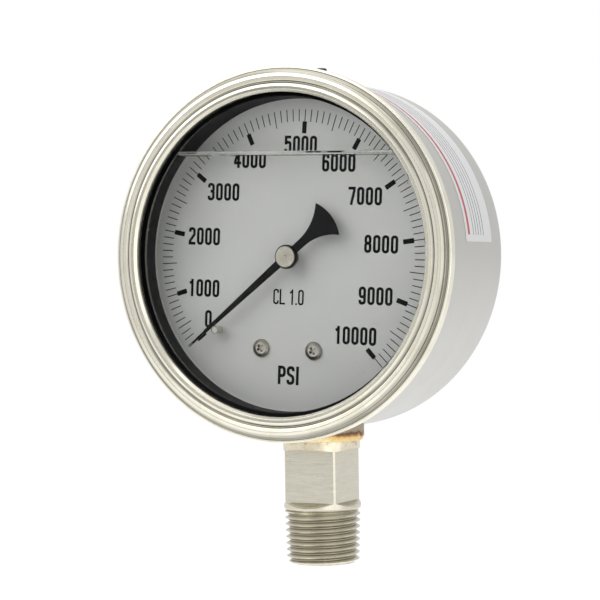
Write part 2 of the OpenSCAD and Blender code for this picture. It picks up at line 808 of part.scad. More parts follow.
// ---- Dial, its screws and the stop ----
module dial() {
    color([0.93, 0.94, 0.92]) on_dial() slab(dial_y, dial_y + dial_t) difference() {
        circle(dial_r);
        circle(dial_hole_r);
        for (p = post_at) translate(p) circle(dial_screw_r + seat_gap);
        translate(stop_r * [cos(stop_angle), sin(stop_angle)]) circle(stop_shank_r);
    }
}

module dial_posts() {
    color([0.80, 0.70, 0.40]) on_dial() for (p = post_at) at(p) difference() {
        union() {
            rod(post_r, dial_y + dial_t, rear_plate_y);
            rod(spigot_r - press_gap, rear_plate_y - past, holder_y);
        }
        rod(dial_screw_r + press_gap, dial_y, dial_y + dial_t + dial_screw_len);
    }
}

module dial_screws() {
    slot_w = 0.7;
    slot_len = 1.14 * dial_screw_head_r;
    slot_depth = 0.8;
    dome_w = 0.9;
    head_y = dial_y - dial_head_h;
    color([0.72, 0.71, 0.68]) on_dial() for (p = post_at) at(p) difference() {
        union() {
            turned([[0, head_y], [dial_screw_head_r - dome_w, head_y + 0.15],
                [dial_screw_head_r, head_y + 0.8], [dial_screw_head_r, dial_y], [0, dial_y]]);
            rod(dial_screw_r, dial_y - seat_gap, dial_y + dial_t + dial_screw_len - wash_gap);
        }
        for (turn = [35, 125]) aimed(turn) translate([-slot_len / 2, head_y - past, -slot_w / 2])
            cube([slot_len, past + slot_depth, slot_w]);
    }
}

module zero_stop_pin() {
    color([0.78, 0.76, 0.70]) on_dial() at(stop_r * [cos(stop_angle), sin(stop_angle)]) {
        rod(stop_pin_r, blade_y - blade_t - 0.8, dial_y);
        rod(stop_shank_r - press_gap, dial_y - past, dial_y + dial_t);
    }
}

// ---- Pointer ----
// The blade from above, its tip along +X
module blade_outline() {
    taper = 0.6;
    arc_x = tail_r - tail_end_r;
    corner_x = arc_x + sqrt(tail_end_r * tail_end_r - tail_w * tail_w / 4);
    rise = (tail_w - neck_w) / 2;
    waist_r = ((corner_x - neck_len) * (corner_x - neck_len) + rise * rise) / (2 * rise);
    polygon([[0, -arm_root_w / 2], [arm_len, -arm_end_w / 2], [arm_len + taper, -tip_w / 2],
        [pointer_len, -tip_w / 2], [pointer_len, tip_w / 2],
        [arm_len + taper, tip_w / 2], [arm_len, arm_end_w / 2], [0, arm_root_w / 2]]);
    difference() {
        intersection() {
            translate([-arc_x, 0]) circle(tail_end_r);
            translate([-tail_r, -tail_w / 2]) square([tail_r, tail_w]);
        }
        for (side = [-1, 1]) {
            translate([-neck_len, side * (neck_w / 2 + waist_r)]) circle(waist_r);
            translate([-neck_len, side * (neck_w + tail_w) / 2 - tail_w / 2])
                square([neck_len + past, tail_w]);
        }
    }
}

module pointer() {
    color([0.05, 0.05, 0.05]) on_dial() aimed(zero_angle) difference() {
        union() {
            slab(blade_y - blade_t, blade_y) blade_outline();
            rod(boss_r, boss_front_y, boss_back_y);
        }
        rod(hub_spigot_r, boss_front_y - past, boss_back_y + past);
    }
}

module pointer_hub() {
    dimple_r = 0.6;
    color([0.80, 0.79, 0.74]) on_arbor() difference() {
        union() {
            turned([[0, boss_front_y - cap_h], [hub_cap_r - 0.3, boss_front_y - cap_h],
                [hub_cap_r, boss_front_y - cap_h + 0.3], [hub_cap_r, boss_front_y], [0, boss_front_y]]);
            rod(hub_spigot_r - press_gap, boss_front_y - seat_gap, boss_back_y + 0.8);
        }
        rod(arbor_r + press_gap, boss_front_y - press_gap, boss_back_y + past);
        turned([[0, boss_front_y - cap_h - press_gap], [dimple_r, boss_front_y - cap_h - press_gap],
            [0, boss_front_y - cap_h + 0.4]]);
    }
}

case_shell();
bezel_ring();
window_pane();
window_gasket();
fill_plug();
case_label();
socket();
weld_bead();
port_restrictor();
passage_plug();
bourdon_tube();
movement_rear_plate();
movement_front_plate();
movement_pillars();
plate_screws();
movement_screws();
arbor_bushes();
hairspring_stud();
hairspring();
dial();
dial_posts();
dial_screws();
zero_stop_pin();
pointer();
pointer_hub();
pinion_arbor();
hairspring_collet();
sector_gear();
sector_arbor();
tail_pin();
link_bar();
tube_end_cap();
tip_rivet();
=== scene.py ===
"""Finishes a liquid-filled dial pressure gauge round its fixed frame.

It makes the can, the bezel, the window, the dial, the pointer and the stem, and sets the stage.
"""

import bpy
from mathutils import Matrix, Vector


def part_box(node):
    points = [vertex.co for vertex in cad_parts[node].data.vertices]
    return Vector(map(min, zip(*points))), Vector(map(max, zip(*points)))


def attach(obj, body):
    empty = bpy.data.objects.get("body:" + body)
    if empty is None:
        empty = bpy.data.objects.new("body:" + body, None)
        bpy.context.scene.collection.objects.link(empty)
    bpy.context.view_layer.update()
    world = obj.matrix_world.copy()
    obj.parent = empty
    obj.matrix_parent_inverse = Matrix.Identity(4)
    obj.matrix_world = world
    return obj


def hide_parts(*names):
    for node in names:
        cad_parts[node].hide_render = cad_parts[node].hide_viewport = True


bl_info = {
    "name": "Dial Pressure Gauge",
    "version": (1, 0, 0),
    "blender": (4, 5, 0),
    "location": "View3D > Sidebar > Gauge",
    "description": "Builds the finished pieces of a liquid-filled dial pressure gauge",
    "category": "Mesh",
}

import bmesh
import bpy
import math
from bpy.props import FloatProperty, FloatVectorProperty, IntProperty, PointerProperty
from mathutils import Matrix, Vector

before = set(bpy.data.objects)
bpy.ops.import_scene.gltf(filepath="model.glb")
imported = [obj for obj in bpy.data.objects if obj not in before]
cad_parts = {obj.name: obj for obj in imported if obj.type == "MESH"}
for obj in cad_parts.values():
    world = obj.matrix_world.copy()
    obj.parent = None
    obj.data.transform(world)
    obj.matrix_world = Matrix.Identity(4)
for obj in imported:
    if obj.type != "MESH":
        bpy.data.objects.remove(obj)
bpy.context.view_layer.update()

MM = 0.001
X_AXIS = Vector((1, 0, 0))
Y_AXIS = Vector((0, 1, 0))
Z_AXIS = Vector((0, 0, 1))
STEM = Vector((0, 0, 0))

# Where the frame puts its parts, in metres
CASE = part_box("case_shell")
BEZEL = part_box("bezel_ring")
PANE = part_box("window_pane")
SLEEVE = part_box("window_gasket")
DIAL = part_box("dial")
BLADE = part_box("pointer")
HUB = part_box("pointer_hub")
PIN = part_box("zero_stop_pin")
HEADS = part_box("dial_screws")
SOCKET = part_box("socket")
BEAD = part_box("weld_bead")
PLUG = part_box("fill_plug")
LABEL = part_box("case_label")
CASE_AXIS = Vector((0, 0, (BEZEL[0].z + BEZEL[1].z) / 2))
ARBOR_AXIS = Vector((0, 0, (HUB[0].z + HUB[1].z) / 2))

# The stem's heights, from its open end: the top of the painted shade in the thread roots, the heat tint and
# the scorch
ROOT_SHADE_TOP = 17.5 * MM
TINT_LOW = 31.6 * MM
TINT_HIGH = 36.0 * MM
SCORCH_LOW = 33.2 * MM
SCORCH_HIGH = 34.4 * MM
# How fast the thread's radius grows along the stem
THREAD_TAPER = 0.03125

# The stage: the side of each lamp, and the place and radius of the dark card, in metres
LAMP_SIDE = 1.2
CARD_SPOT = (-0.518, -1.0, 0.107)
CARD_RADIUS = 0.136


# ---- Settings ----
class CanSettings(bpy.types.PropertyGroup):
    """Sizes and colours of the steel can and its bezel."""

    wall: FloatProperty(
        name="Can wall",
        description="Thickness of the can's sheet",
        default=0.9 * MM,
        min=0.3 * MM,
        precision=5,
        unit="LENGTH",
    )
    corner: FloatProperty(
        name="Rear corner",
        description="Outer radius of the can's rear corner",
        default=4 * MM,
        min=1 * MM,
        precision=5,
        unit="LENGTH",
    )
    lip: FloatProperty(
        name="Bezel lip",
        description="Inner radius of the bezel's lip",
        default=44.7 * MM,
        min=40 * MM,
        precision=5,
        unit="LENGTH",
    )
    groove: FloatProperty(
        name="Bezel groove",
        description="Radius of the groove between the bezel's two crowns",
        default=47.4 * MM,
        min=40 * MM,
        precision=5,
        unit="LENGTH",
    )
    face: FloatProperty(
        name="Bezel face",
        description="Outer radius of the bezel's raised face",
        default=50.3 * MM,
        min=40 * MM,
        precision=5,
        unit="LENGTH",
    )
    steel: FloatVectorProperty(
        name="Can steel",
        description="Colour of the satin steel of the can",
        default=(0.57, 0.565, 0.54),
        min=0.0,
        max=1.0,
        subtype="COLOR",
    )
    bright: FloatVectorProperty(
        name="Bezel steel",
        description="Colour of the polished steel of the bezel",
        default=(0.80, 0.775, 0.69),
        min=0.0,
        max=1.0,
        subtype="COLOR",
    )


class FillSettings(bpy.types.PropertyGroup):
    """Sizes and colours of the window, its sleeve and the liquid behind it."""

    bore: FloatProperty(
        name="Sleeve bore",
        description="Inner radius of the black sleeve",
        default=43.6 * MM,
        min=40 * MM,
        precision=5,
        unit="LENGTH",
    )
    level: FloatProperty(
        name="Liquid level",
        description="Height of the liquid's surface",
        default=114.9 * MM,
        min=60 * MM,
        precision=5,
        unit="LENGTH",
    )
    lean: FloatProperty(
        name="Liquid lean",
        description="Turn of the liquid's surface, clockwise from the front",
        default=math.radians(2.1),
        subtype="ANGLE",
        unit="ROTATION",
    )
    climb: FloatProperty(
        name="Meniscus",
        description="How far the liquid climbs up the window",
        default=1.6 * MM,
        min=0.0,
        precision=5,
        unit="LENGTH",
    )
    rubber: FloatVectorProperty(
        name="Rubber",
        description="Colour of the black rubber",
        default=(0.018, 0.018, 0.019),
        min=0.0,
        max=1.0,
        subtype="COLOR",
    )
    paper: FloatVectorProperty(
        name="Label stock",
        description="Colour of the plain side label",
        default=(0.86, 0.86, 0.87),
        min=0.0,
        max=1.0,
        subtype="COLOR",
    )


class StemSettings(bpy.types.PropertyGroup):
    """Sizes and colours of the threaded stem and its weld."""

    radius: FloatProperty(
        name="Bar",
        description="Radius of the round bar",
        default=SOCKET[1].x,
        min=9 * MM,
        precision=5,
        unit="LENGTH",
    )
    thread: FloatProperty(
        name="Thread",
        description="Length of the pipe thread",
        default=15 * MM,
        min=8 * MM,
        precision=5,
        unit="LENGTH",
    )
    pitch: FloatProperty(
        name="Pitch",
        description="Distance between two turns of the thread",
        default=1.814 * MM,
        min=1 * MM,
        precision=6,
        unit="LENGTH",
    )
    across: FloatProperty(
        name="Across flats",
        description="Distance between opposite wrench flats",
        default=16 * MM,
        min=12 * MM,
        precision=5,
        unit="LENGTH",
    )
    steel: FloatVectorProperty(
        name="Stem steel",
        description="Colour of the machined stem",
        default=(0.66, 0.63, 0.53),
        min=0.0,
        max=1.0,
        subtype="COLOR",
    )
    tint: FloatVectorProperty(
        name="Heat tint",
        description="Gold of the heat tint round the weld",
        default=(0.72, 0.50, 0.20),
        min=0.0,
        max=1.0,
        subtype="COLOR",
    )


class DialSettings(bpy.types.PropertyGroup):
    """Sizes and colours of the dial, its print and its screws."""

    turn: FloatProperty(
        name="Dial turn",
        description="Turn of the dial, clockwise from the front",
        default=math.radians(3),
        subtype="ANGLE",
        unit="ROTATION",
    )
    start: FloatProperty(
        name="Scale start",
        description="Direction of the scale's low end, anticlockwise from the right",
        default=math.radians(225),
        subtype="ANGLE",
        unit="ROTATION",
    )
    sweep: FloatProperty(
        name="Scale sweep",
        description="Angle from the scale's low end to its high end",
        default=math.radians(270),
        subtype="ANGLE",
        unit="ROTATION",
    )
    uneven: FloatProperty(
        name="Uneven scale",
        description="How far the middle of the scale is drawn towards its high end",
        default=math.radians(2.35),
        subtype="ANGLE",
        unit="ROTATION",
    )
    digit_height: FloatProperty(
        name="Numeral height",
        description="Height of the numerals",
        default=4.98 * MM,
        min=1 * MM,
        precision=5,
        unit="LENGTH",
    )
    majors: IntProperty(
        name="Major marks",
        description="Number of numbered steps on the scale",
        default=10,
        min=1,
        max=20,
    )
    white: FloatVectorProperty(
        name="Dial white",
        description="Colour of the dial's paint",
        default=(0.87, 0.88, 0.845),
        min=0.0,
        max=1.0,
        subtype="COLOR",
    )
    ink: FloatVectorProperty(
        name="Dial ink",
        description="Colour of the dial's print",
        default=(0.01, 0.01, 0.011),
        min=0.0,
        max=1.0,
        subtype="COLOR",
    )


class PointerSettings(bpy.types.PropertyGroup):
    """Sizes and colours of the pointer and its hub cap."""

    bevel: FloatProperty(
        name="Edge bevel",
        description="Width of the bevel along the blade's edges",
        default=0.07 * MM,
        min=0.0,
        precision=6,
        unit="LENGTH",
    )
    cap: FloatProperty(
        name="Cap radius",
        description="Radius of the hub's cap",
        default=HUB[1].x,
        min=1 * MM,
        precision=5,
        unit="LENGTH",
    )
    black: FloatVectorProperty(
        name="Pointer black",
        description="Colour of the pointer's paint",
        default=(0.012, 0.012, 0.013),
        min=0.0,
        max=1.0,
        subtype="COLOR",
    )


class StageSettings(bpy.types.PropertyGroup):
    """The camera, the floor and the light round the gauge."""

    lens: FloatProperty(
        name="Lens",
        description="Focal length of the camera in millimetres",
        default=123.1,
        min=10.0,
        subtype="DISTANCE_CAMERA",
    )
    distance: FloatProperty(
        name="Distance",
        description="Distance from the camera to the gauge",
        default=0.5755,
        min=0.1,
        unit="LENGTH",
    )
    azimuth: FloatProperty(
        name="Azimuth",
        description="Angle of the camera round the gauge, to the right of its front",
        default=math.radians(27.378),
        subtype="ANGLE",
        unit="ROTATION",
    )
    elevation: FloatProperty(
        name="Elevation",
        description="Angle of the camera above level",
        default=math.radians(-0.263),
        subtype="ANGLE",
        unit="ROTATION",
    )
    roll: FloatProperty(
        name="Roll",
        description="Turn of the camera about its line of sight",
        default=math.radians(-0.897),
        subtype="ANGLE",
        unit="ROTATION",
    )
    floor: FloatProperty(
        name="Floor",
        description="Height of the floor",
        default=-0.24,
        unit="LENGTH",
    )
    key: FloatProperty(
        name="Key light",
        description="Power of the soft key light",
        default=7.4,
        min=0.0,
        unit="POWER",
    )


# ---- Shaping ----
def rounded(corners, closed=False, steps=6, hold=0.02 * MM):
    """The points of a flat line through corners of (across, along, radius), with arcs at some.

    A corner with a radius gets an arc. A point at the hold distance before and after each arc
    keeps the flats beside it flat when they are shaded.
    """
    points = []
    count = len(corners)
    for index, (across, along, radius) in enumerate(corners):
        here = Vector((across, along))
        if radius == 0 or (not closed and index in (0, count - 1)):
            points.append(here)
            continue
        back = Vector(corners[index - 1][:2]) - here
        ahead = Vector(corners[(index + 1) % count][:2]) - here
        half = back.angle(ahead) / 2
        reach = min(radius / math.tan(half), 0.499 * back.length, 0.499 * ahead.length)
        arc = reach * math.tan(half)
        centre = here + (back.normalized() + ahead.normalized()).normalized() * arc / math.sin(half)
        start = here + back.normalized() * reach - centre
        end = here + ahead.normalized() * reach - centre
        room = 0.4 * (min(back.length, ahead.length) - 2 * reach)
        if hold and room > hold:
            points.append(centre + start + back.normalized() * hold)
        for step in range(steps + 1):
            points.append(centre + start.normalized().slerp(end.normalized(), step / steps) * arc)
        if hold and room > hold:
            points.append(centre + end + ahead.normalized() * hold)
    return points


def turned(bm, points, axis, centre, segments=160, closed=True):
    """Spins a line of (radius, place along the axis) points round an axis."""
    line = [bm.verts.new(centre + X_AXIS * radius + axis * place) for radius, place in points]
    ends = line[1:] + line[:1] if closed else line[1:]
    edges = [bm.edges.new(pair) for pair in zip(line, ends)]
    bmesh.ops.spin(
        bm,
        geom=line + edges,
        cent=centre,
        axis=axis,
        dvec=(0, 0, 0),
        angle=2 * math.pi,
        steps=segments,
        use_merge=True,
        use_duplicate=False,
    )
    tidy(bm)
    return bm


def tidy(bm):
    """Merges doubles, drops what has no size and points every face outwards."""
    bmesh.ops.remove_doubles(bm, verts=bm.verts[:], dist=0.001 * MM)
    bmesh.ops.dissolve_degenerate(bm, edges=bm.edges[:], dist=0.0005 * MM)
    bmesh.ops.recalc_face_normals(bm, faces=bm.faces[:])


def rod(radius, start, end, segments=64):
    """A round bar between two points, as a new bmesh."""
    bm = bmesh.new()
    along = end - start
    place = Matrix.Translation((start + end) / 2) @ along.to_track_quat("Z", "Y").to_matrix().to_4x4()
    bmesh.ops.create_cone(
        bm,
        cap_ends=True,
        segments=segments,
        radius1=radius,
        radius2=radius,
        depth=along.length,
        matrix=place,
    )
    return bm


def block(low, high):
    """A box between two corners, as a new bmesh."""
    bm = bmesh.new()
    size = high - low
    place = Matrix.Translation((low + high) / 2) @ Matrix.Diagonal(size.to_4d())
    place[3][3] = 1.0
    bmesh.ops.create_cube(bm, size=1.0, matrix=place)
    return bm


def combined(bm, tool, operation):
    """What a Boolean of tool on bm leaves, as a new bmesh. Both are used up."""
    shapes = []
    for source in (bm, tool):
        tidy(source)
        mesh = bpy.data.meshes.new("work")
        source.to_mesh(mesh)
        source.free()
        shape = bpy.data.objects.new("work", mesh)
        bpy.context.scene.collection.objects.link(shape)
        shapes.append(shape)
    modifier = shapes[0].modifiers.new("work", "BOOLEAN")
    modifier.object = shapes[1]
    modifier.operation = operation
    modifier.solver = "EXACT"
    bpy.context.view_layer.update()
    graph = bpy.context.evaluated_depsgraph_get()
    made = bmesh.new()
    made.from_mesh(shapes[0].evaluated_get(graph).to_mesh())
    for shape in shapes:
        mesh = shape.data
        bpy.data.objects.remove(shape)
        bpy.data.meshes.remove(mesh)
    if not made.faces:
        raise RuntimeError("a Boolean left nothing")
    return made


def added(bm, other):
    """Puts the faces of other into bm, and uses other up."""
    mesh = bpy.data.meshes.new("work")
    other.to_mesh(mesh)
    other.free()
    bm.from_mesh(mesh)
    bpy.data.meshes.remove(mesh)
    return bm


def frame_copy(name):
    """A merged copy of a frame node's mesh, as a new bmesh."""
    bm = bmesh.new()
    bm.from_mesh(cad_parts[name].data)
    bmesh.ops.remove_doubles(bm, verts=bm.verts[:], dist=0.001 * MM)
    return bm


def finish_piece(name, bm, materials, body, stands_for=(), sharp=32):
    """Makes bm a piece that rides on a body, with smooth faces and sharp edges."""
    limit = math.radians(sharp)
    for face in bm.faces:
        face.smooth = True
    for edge in bm.edges:
        edge.smooth = edge.is_manifold and edge.calc_face_angle(0) < limit
    mesh = bpy.data.meshes.new(name)
    bm.to_mesh(mesh)
    bm.free()
    piece = bpy.data.objects.new(name, mesh)
    bpy.context.scene.collection.objects.link(piece)
    for material in materials:
        mesh.materials.append(material)
    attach(piece, body)
    if stands_for:
        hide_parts(*stands_for)
    return piece


# ---- Finishes ----
def add_node(tree, kind, inputs=None, **settings):
    """Adds a shader node, sets its own settings and the values or links of its inputs."""
    made = tree.nodes.new(kind)
    for key, value in settings.items():
        setattr(made, key, value)
    for key, value in (inputs or {}).items():
        if isinstance(value, bpy.types.NodeSocket):
            tree.links.new(value, made.inputs[key])
        else:
            made.inputs[key].default_value = value
    return made


def math_node(tree, operation, *values):
    """The result of a Math node on numbers or sockets."""
    return add_node(tree, "ShaderNodeMath", dict(enumerate(values)), operation=operation).outputs[0]


def vector_math(tree, operation, *values):
    """A Vector Math node on vectors or sockets."""
    return add_node(tree, "ShaderNodeVectorMath", dict(enumerate(values)), operation=operation)


def ramp(tree, value, stops, mode="LINEAR"):
    """A Color Ramp over value, with stops of (place, colour)."""
    made = add_node(tree, "ShaderNodeValToRGB", {"Fac": value})
    band = made.color_ramp
    band.interpolation = mode
    while len(band.elements) < len(stops):
        band.elements.new(0.5)
    for element, (place, colour) in zip(band.elements, stops):
        element.position = place
        element.color = (*colour, 1.0)
    return made.outputs["Color"]


def mixed(tree, share, first, second, blend="MIX"):
    """The colour of a Mix node between two colours or sockets."""
    made = add_node(tree, "ShaderNodeMix", data_type="RGBA", blend_type=blend)
    for key, value in ((0, share), (6, first), (7, second)):
        if isinstance(value, bpy.types.NodeSocket):
            tree.links.new(value, made.inputs[key])
        elif key == 0:
            made.inputs[key].default_value = value
        else:
            made.inputs[key].default_value = (*value, 1.0)
    return made.outputs[2]


def stretched(tree, value, low, high, to_low, to_high):
    """value moved from one range to another, and kept inside it."""
    made = add_node(
        tree,
        "ShaderNodeMapRange",
        {"Value": value, "From Min": low, "From Max": high, "To Min": to_low, "To Max": to_high},
    )
    made.clamp = True
    return made.outputs["Result"]


def new_group(name, inputs, outputs):
    """A new shader group with named sockets, and its input and output nodes."""
    tree = bpy.data.node_groups.new(name, "ShaderNodeTree")
    for label, kind, value in inputs:
        socket = tree.interface.new_socket(name=label, in_out="INPUT", socket_type=kind)
        if value is not None:
            socket.default_value = value
    for label, kind in outputs:
        tree.interface.new_socket(name=label, in_out="OUTPUT", socket_type=kind)
    return tree, tree.nodes.new("NodeGroupInput"), tree.nodes.new("NodeGroupOutput")


def turned_grain_group():
    """Fine rings round the local Z axis, with slow changes along each ring."""
    tree, given, result = new_group(
        "Turned Grain",
        [
            ("Vector", "NodeSocketVector", None),
            ("Rings", "NodeSocketFloat", 3000.0),
            ("Drift", "NodeSocketFloat", 2.0),
        ],
        [("Grain", "NodeSocketFloat"), ("Radius", "NodeSocketFloat")],
    )
    parts = add_node(tree, "ShaderNodeSeparateXYZ", {"Vector": given.outputs["Vector"]})
    flat = add_node(tree, "ShaderNodeCombineXYZ", {"X": parts.outputs["X"], "Y": parts.outputs["Y"]})
    radius = vector_math(tree, "LENGTH", flat.outputs["Vector"]).outputs["Value"]
    unit = vector_math(tree, "NORMALIZE", flat.outputs["Vector"]).outputs["Vector"]
    around = add_node(tree, "ShaderNodeSeparateXYZ", {"Vector": unit})
    place = add_node(
        tree,
        "ShaderNodeCombineXYZ",
        {
            "X": math_node(tree, "MULTIPLY", radius, given.outputs["Rings"]),
            "Y": math_node(tree, "MULTIPLY", parts.outputs["Z"], given.outputs["Rings"]),
            "Z": math_node(tree, "MULTIPLY", around.outputs["X"], given.outputs["Drift"]),
        },
    )
    noise = add_node(
        tree,
        "ShaderNodeTexNoise",
        {
            "Vector": place.outputs["Vector"],
            "W": math_node(tree, "MULTIPLY", around.outputs["Y"], given.outputs["Drift"]),
            "Scale": 1.0,
            "Detail": 3.0,
            "Roughness": 0.6,
        },
        noise_dimensions="4D",
    )
    tree.links.new(noise.outputs["Fac"], result.inputs["Grain"])
    tree.links.new(radius, result.inputs["Radius"])
    return tree


def line_grain_group():
    """Fine straight lines: noise that is scaled on its own along each axis."""
    tree, given, result = new_group(
        "Line Grain",
        [("Vector", "NodeSocketVector", None), ("Scale", "NodeSocketVector", (200.0, 200.0, 6000.0))],
        [("Grain", "NodeSocketFloat")],
    )
    place = vector_math(tree, "MULTIPLY", given.outputs["Vector"], given.outputs["Scale"])
    noise = add_node(
        tree,
        "ShaderNodeTexNoise",
        {"Vector": place.outputs["Vector"], "Scale": 1.0, "Detail": 4.0, "Roughness": 0.6},
    )
    tree.links.new(noise.outputs["Fac"], result.inputs["Grain"])
    return tree


def blotches_group():
    """Soft cloudy patches, as a mask."""
    tree, given, result = new_group(
        "Blotches",
        [
            ("Vector", "NodeSocketVector", None),
            ("Scale", "NodeSocketFloat", 80.0),
            ("From", "NodeSocketFloat", 0.4),
            ("To", "NodeSocketFloat", 0.7),
        ],
        [("Mask", "NodeSocketFloat")],
    )
    noise = add_node(
        tree,
        "ShaderNodeTexNoise",
        {
            "Vector": given.outputs["Vector"],
            "Scale": given.outputs["Scale"],
            "Detail": 5.0,
            "Roughness": 0.55,
            "Distortion": 0.4,
        },
    )
    mask = stretched(
        tree, noise.outputs["Fac"], given.outputs["From"], given.outputs["To"], 0.0, 1.0
    )
    tree.links.new(mask, result.inputs["Mask"])
    return tree


def specks_group():
    """Sparse round dots, as a mask."""
    tree, given, result = new_group(
        "Specks",
        [
            ("Vector", "NodeSocketVector", None),
            ("Scale", "NodeSocketFloat", 600.0),
            ("Size", "NodeSocketFloat", 0.1),
            ("Share", "NodeSocketFloat", 0.2),
        ],
        [("Mask", "NodeSocketFloat")],
    )
    cells = add_node(
        tree,
        "ShaderNodeTexVoronoi",
        {"Vector": given.outputs["Vector"], "Scale": given.outputs["Scale"]},
    )
    near = math_node(tree, "LESS_THAN", cells.outputs["Distance"], given.outputs["Size"])
    pick = add_node(tree, "ShaderNodeSeparateColor", {"Color": cells.outputs["Color"]})
    chosen = math_node(tree, "LESS_THAN", pick.outputs["Red"], given.outputs["Share"])
    tree.links.new(math_node(tree, "MULTIPLY", near, chosen), result.inputs["Mask"])
    return tree


def edge_wear_group():
    """A mask of the outer edges, broken up by noise."""
    tree, given, result = new_group(
        "Edge Wear",
        [("Vector", "NodeSocketVector", None), ("Reach", "NodeSocketFloat", 0.54)],
        [("Mask", "NodeSocketFloat")],
    )
    shape = add_node(tree, "ShaderNodeNewGeometry")
    noise = add_node(
        tree,
        "ShaderNodeTexNoise",
        {"Vector": given.outputs["Vector"], "Scale": 900.0, "Detail": 3.0},
    )
    edge = stretched(tree, shape.outputs["Pointiness"], 0.505, given.outputs["Reach"], 0.0, 1.0)
    broken = stretched(tree, noise.outputs["Fac"], 0.35, 0.6, 0.35, 1.0)
    tree.links.new(math_node(tree, "MULTIPLY", edge, broken), result.inputs["Mask"])
    return tree


GROUPS = {}


def use_group(tree, label, inputs):
    """Places a shared group in a material, and builds it the first time."""
    makers = {
        "Turned Grain": turned_grain_group,
        "Line Grain": line_grain_group,
        "Blotches": blotches_group,
        "Specks": specks_group,
        "Edge Wear": edge_wear_group,
    }
    if label not in GROUPS:
        GROUPS[label] = makers[label]()
    made = tree.nodes.new("ShaderNodeGroup")
    made.node_tree = GROUPS[label]
    for key, value in inputs.items():
        if isinstance(value, bpy.types.NodeSocket):
            tree.links.new(value, made.inputs[key])
        else:
            made.inputs[key].default_value = value
    return made


def new_material(name, **constants):
    """A material with a Principled shader, whose plain values are constants, and its tree."""
    material = bpy.data.materials.new(name)
    material.use_nodes = True
    tree = material.node_tree
    shader = tree.nodes["Principled BSDF"]
    for key, value in constants.items():
        shader.inputs[key.replace("_", " ")].default_value = value
    return material, tree, shader


def surface_place(tree, centre=(0, 0, 0), turn=(0, 0, 0)):
    """Object coordinates, moved so that centre is their origin, then turned."""
    coordinates = add_node(tree, "ShaderNodeTexCoord")
    moved = vector_math(tree, "SUBTRACT", coordinates.outputs["Object"], centre)
    mapping = add_node(tree, "ShaderNodeMapping", {"Vector": moved.outputs["Vector"], "Rotation": turn})
    return mapping.outputs["Vector"]


def bump(tree, shader, height, strength, distance):
    """Feeds a height into the shader's normal."""
    made = add_node(
        tree,
        "ShaderNodeBump",
        {"Height": height, "Strength": strength, "Distance": distance},
    )
    tree.links.new(made.outputs["Normal"], shader.inputs["Normal"])
    return made


ABOUT_Y = (math.radians(90), 0.0, 0.0)


def turned_steel(name, colour, shade, centre, turn, rings, roughness, streak, dent, stain=0.0, painted_shade_bands=()):
    """Steel with fine turned rings, soft stains, worn edges and bands of painted shade at given radii."""
    material, tree, shader = new_material(name, Metallic=1.0)
    place = surface_place(tree, centre, turn)
    grain = use_group(tree, "Turned Grain", {"Vector": place, "Rings": rings, "Drift": 1.5})
    coarse = use_group(tree, "Turned Grain", {"Vector": place, "Rings": rings * 0.18, "Drift": 0.8})
    cloud = use_group(tree, "Blotches", {"Vector": place, "Scale": 90.0, "From": 0.45, "To": 0.72})
    wear = use_group(tree, "Edge Wear", {"Vector": place, "Reach": 0.56})
    tone = mixed(tree, grain.outputs["Grain"], shade, colour)
    tone = mixed(tree, math_node(tree, "MULTIPLY", coarse.outputs["Grain"], 0.35), tone, shade)
    stain_share = math_node(tree, "MULTIPLY", cloud.outputs["Mask"], stain)
    stained = mixed(tree, stain_share, tone, (0.50, 0.44, 0.33))
    bright = tuple(min(1.0, 1.12 * part) for part in colour)
    final = mixed(tree, math_node(tree, "MULTIPLY", wear.outputs["Mask"], 0.5), stained, bright)
    # Painted shade: a ramp by radius darkens the colour in the given bands, where recesses would be shaded.
    if painted_shade_bands:
        low, high = painted_shade_bands[0][0], painted_shade_bands[-1][0]
        share = stretched(tree, grain.outputs["Radius"], low, high, 0.0, 1.0)
        stops = [((radius - low) / (high - low), (tone, tone, 0.96 * tone)) for radius, tone in painted_shade_bands]
        final = mixed(tree, 1.0, final, ramp(tree, share, stops, "EASE"), "MULTIPLY")
    tree.links.new(final, shader.inputs["Base Color"])
    rough = stretched(tree, grain.outputs["Grain"], 0.2, 0.8, roughness - streak, roughness + streak)
    clouded = math_node(tree, "MULTIPLY_ADD", cloud.outputs["Mask"], 0.06, rough)
    tree.links.new(clouded, shader.inputs["Roughness"])
    bump(tree, shader, grain.outputs["Grain"], 1.0, dent)
    return material


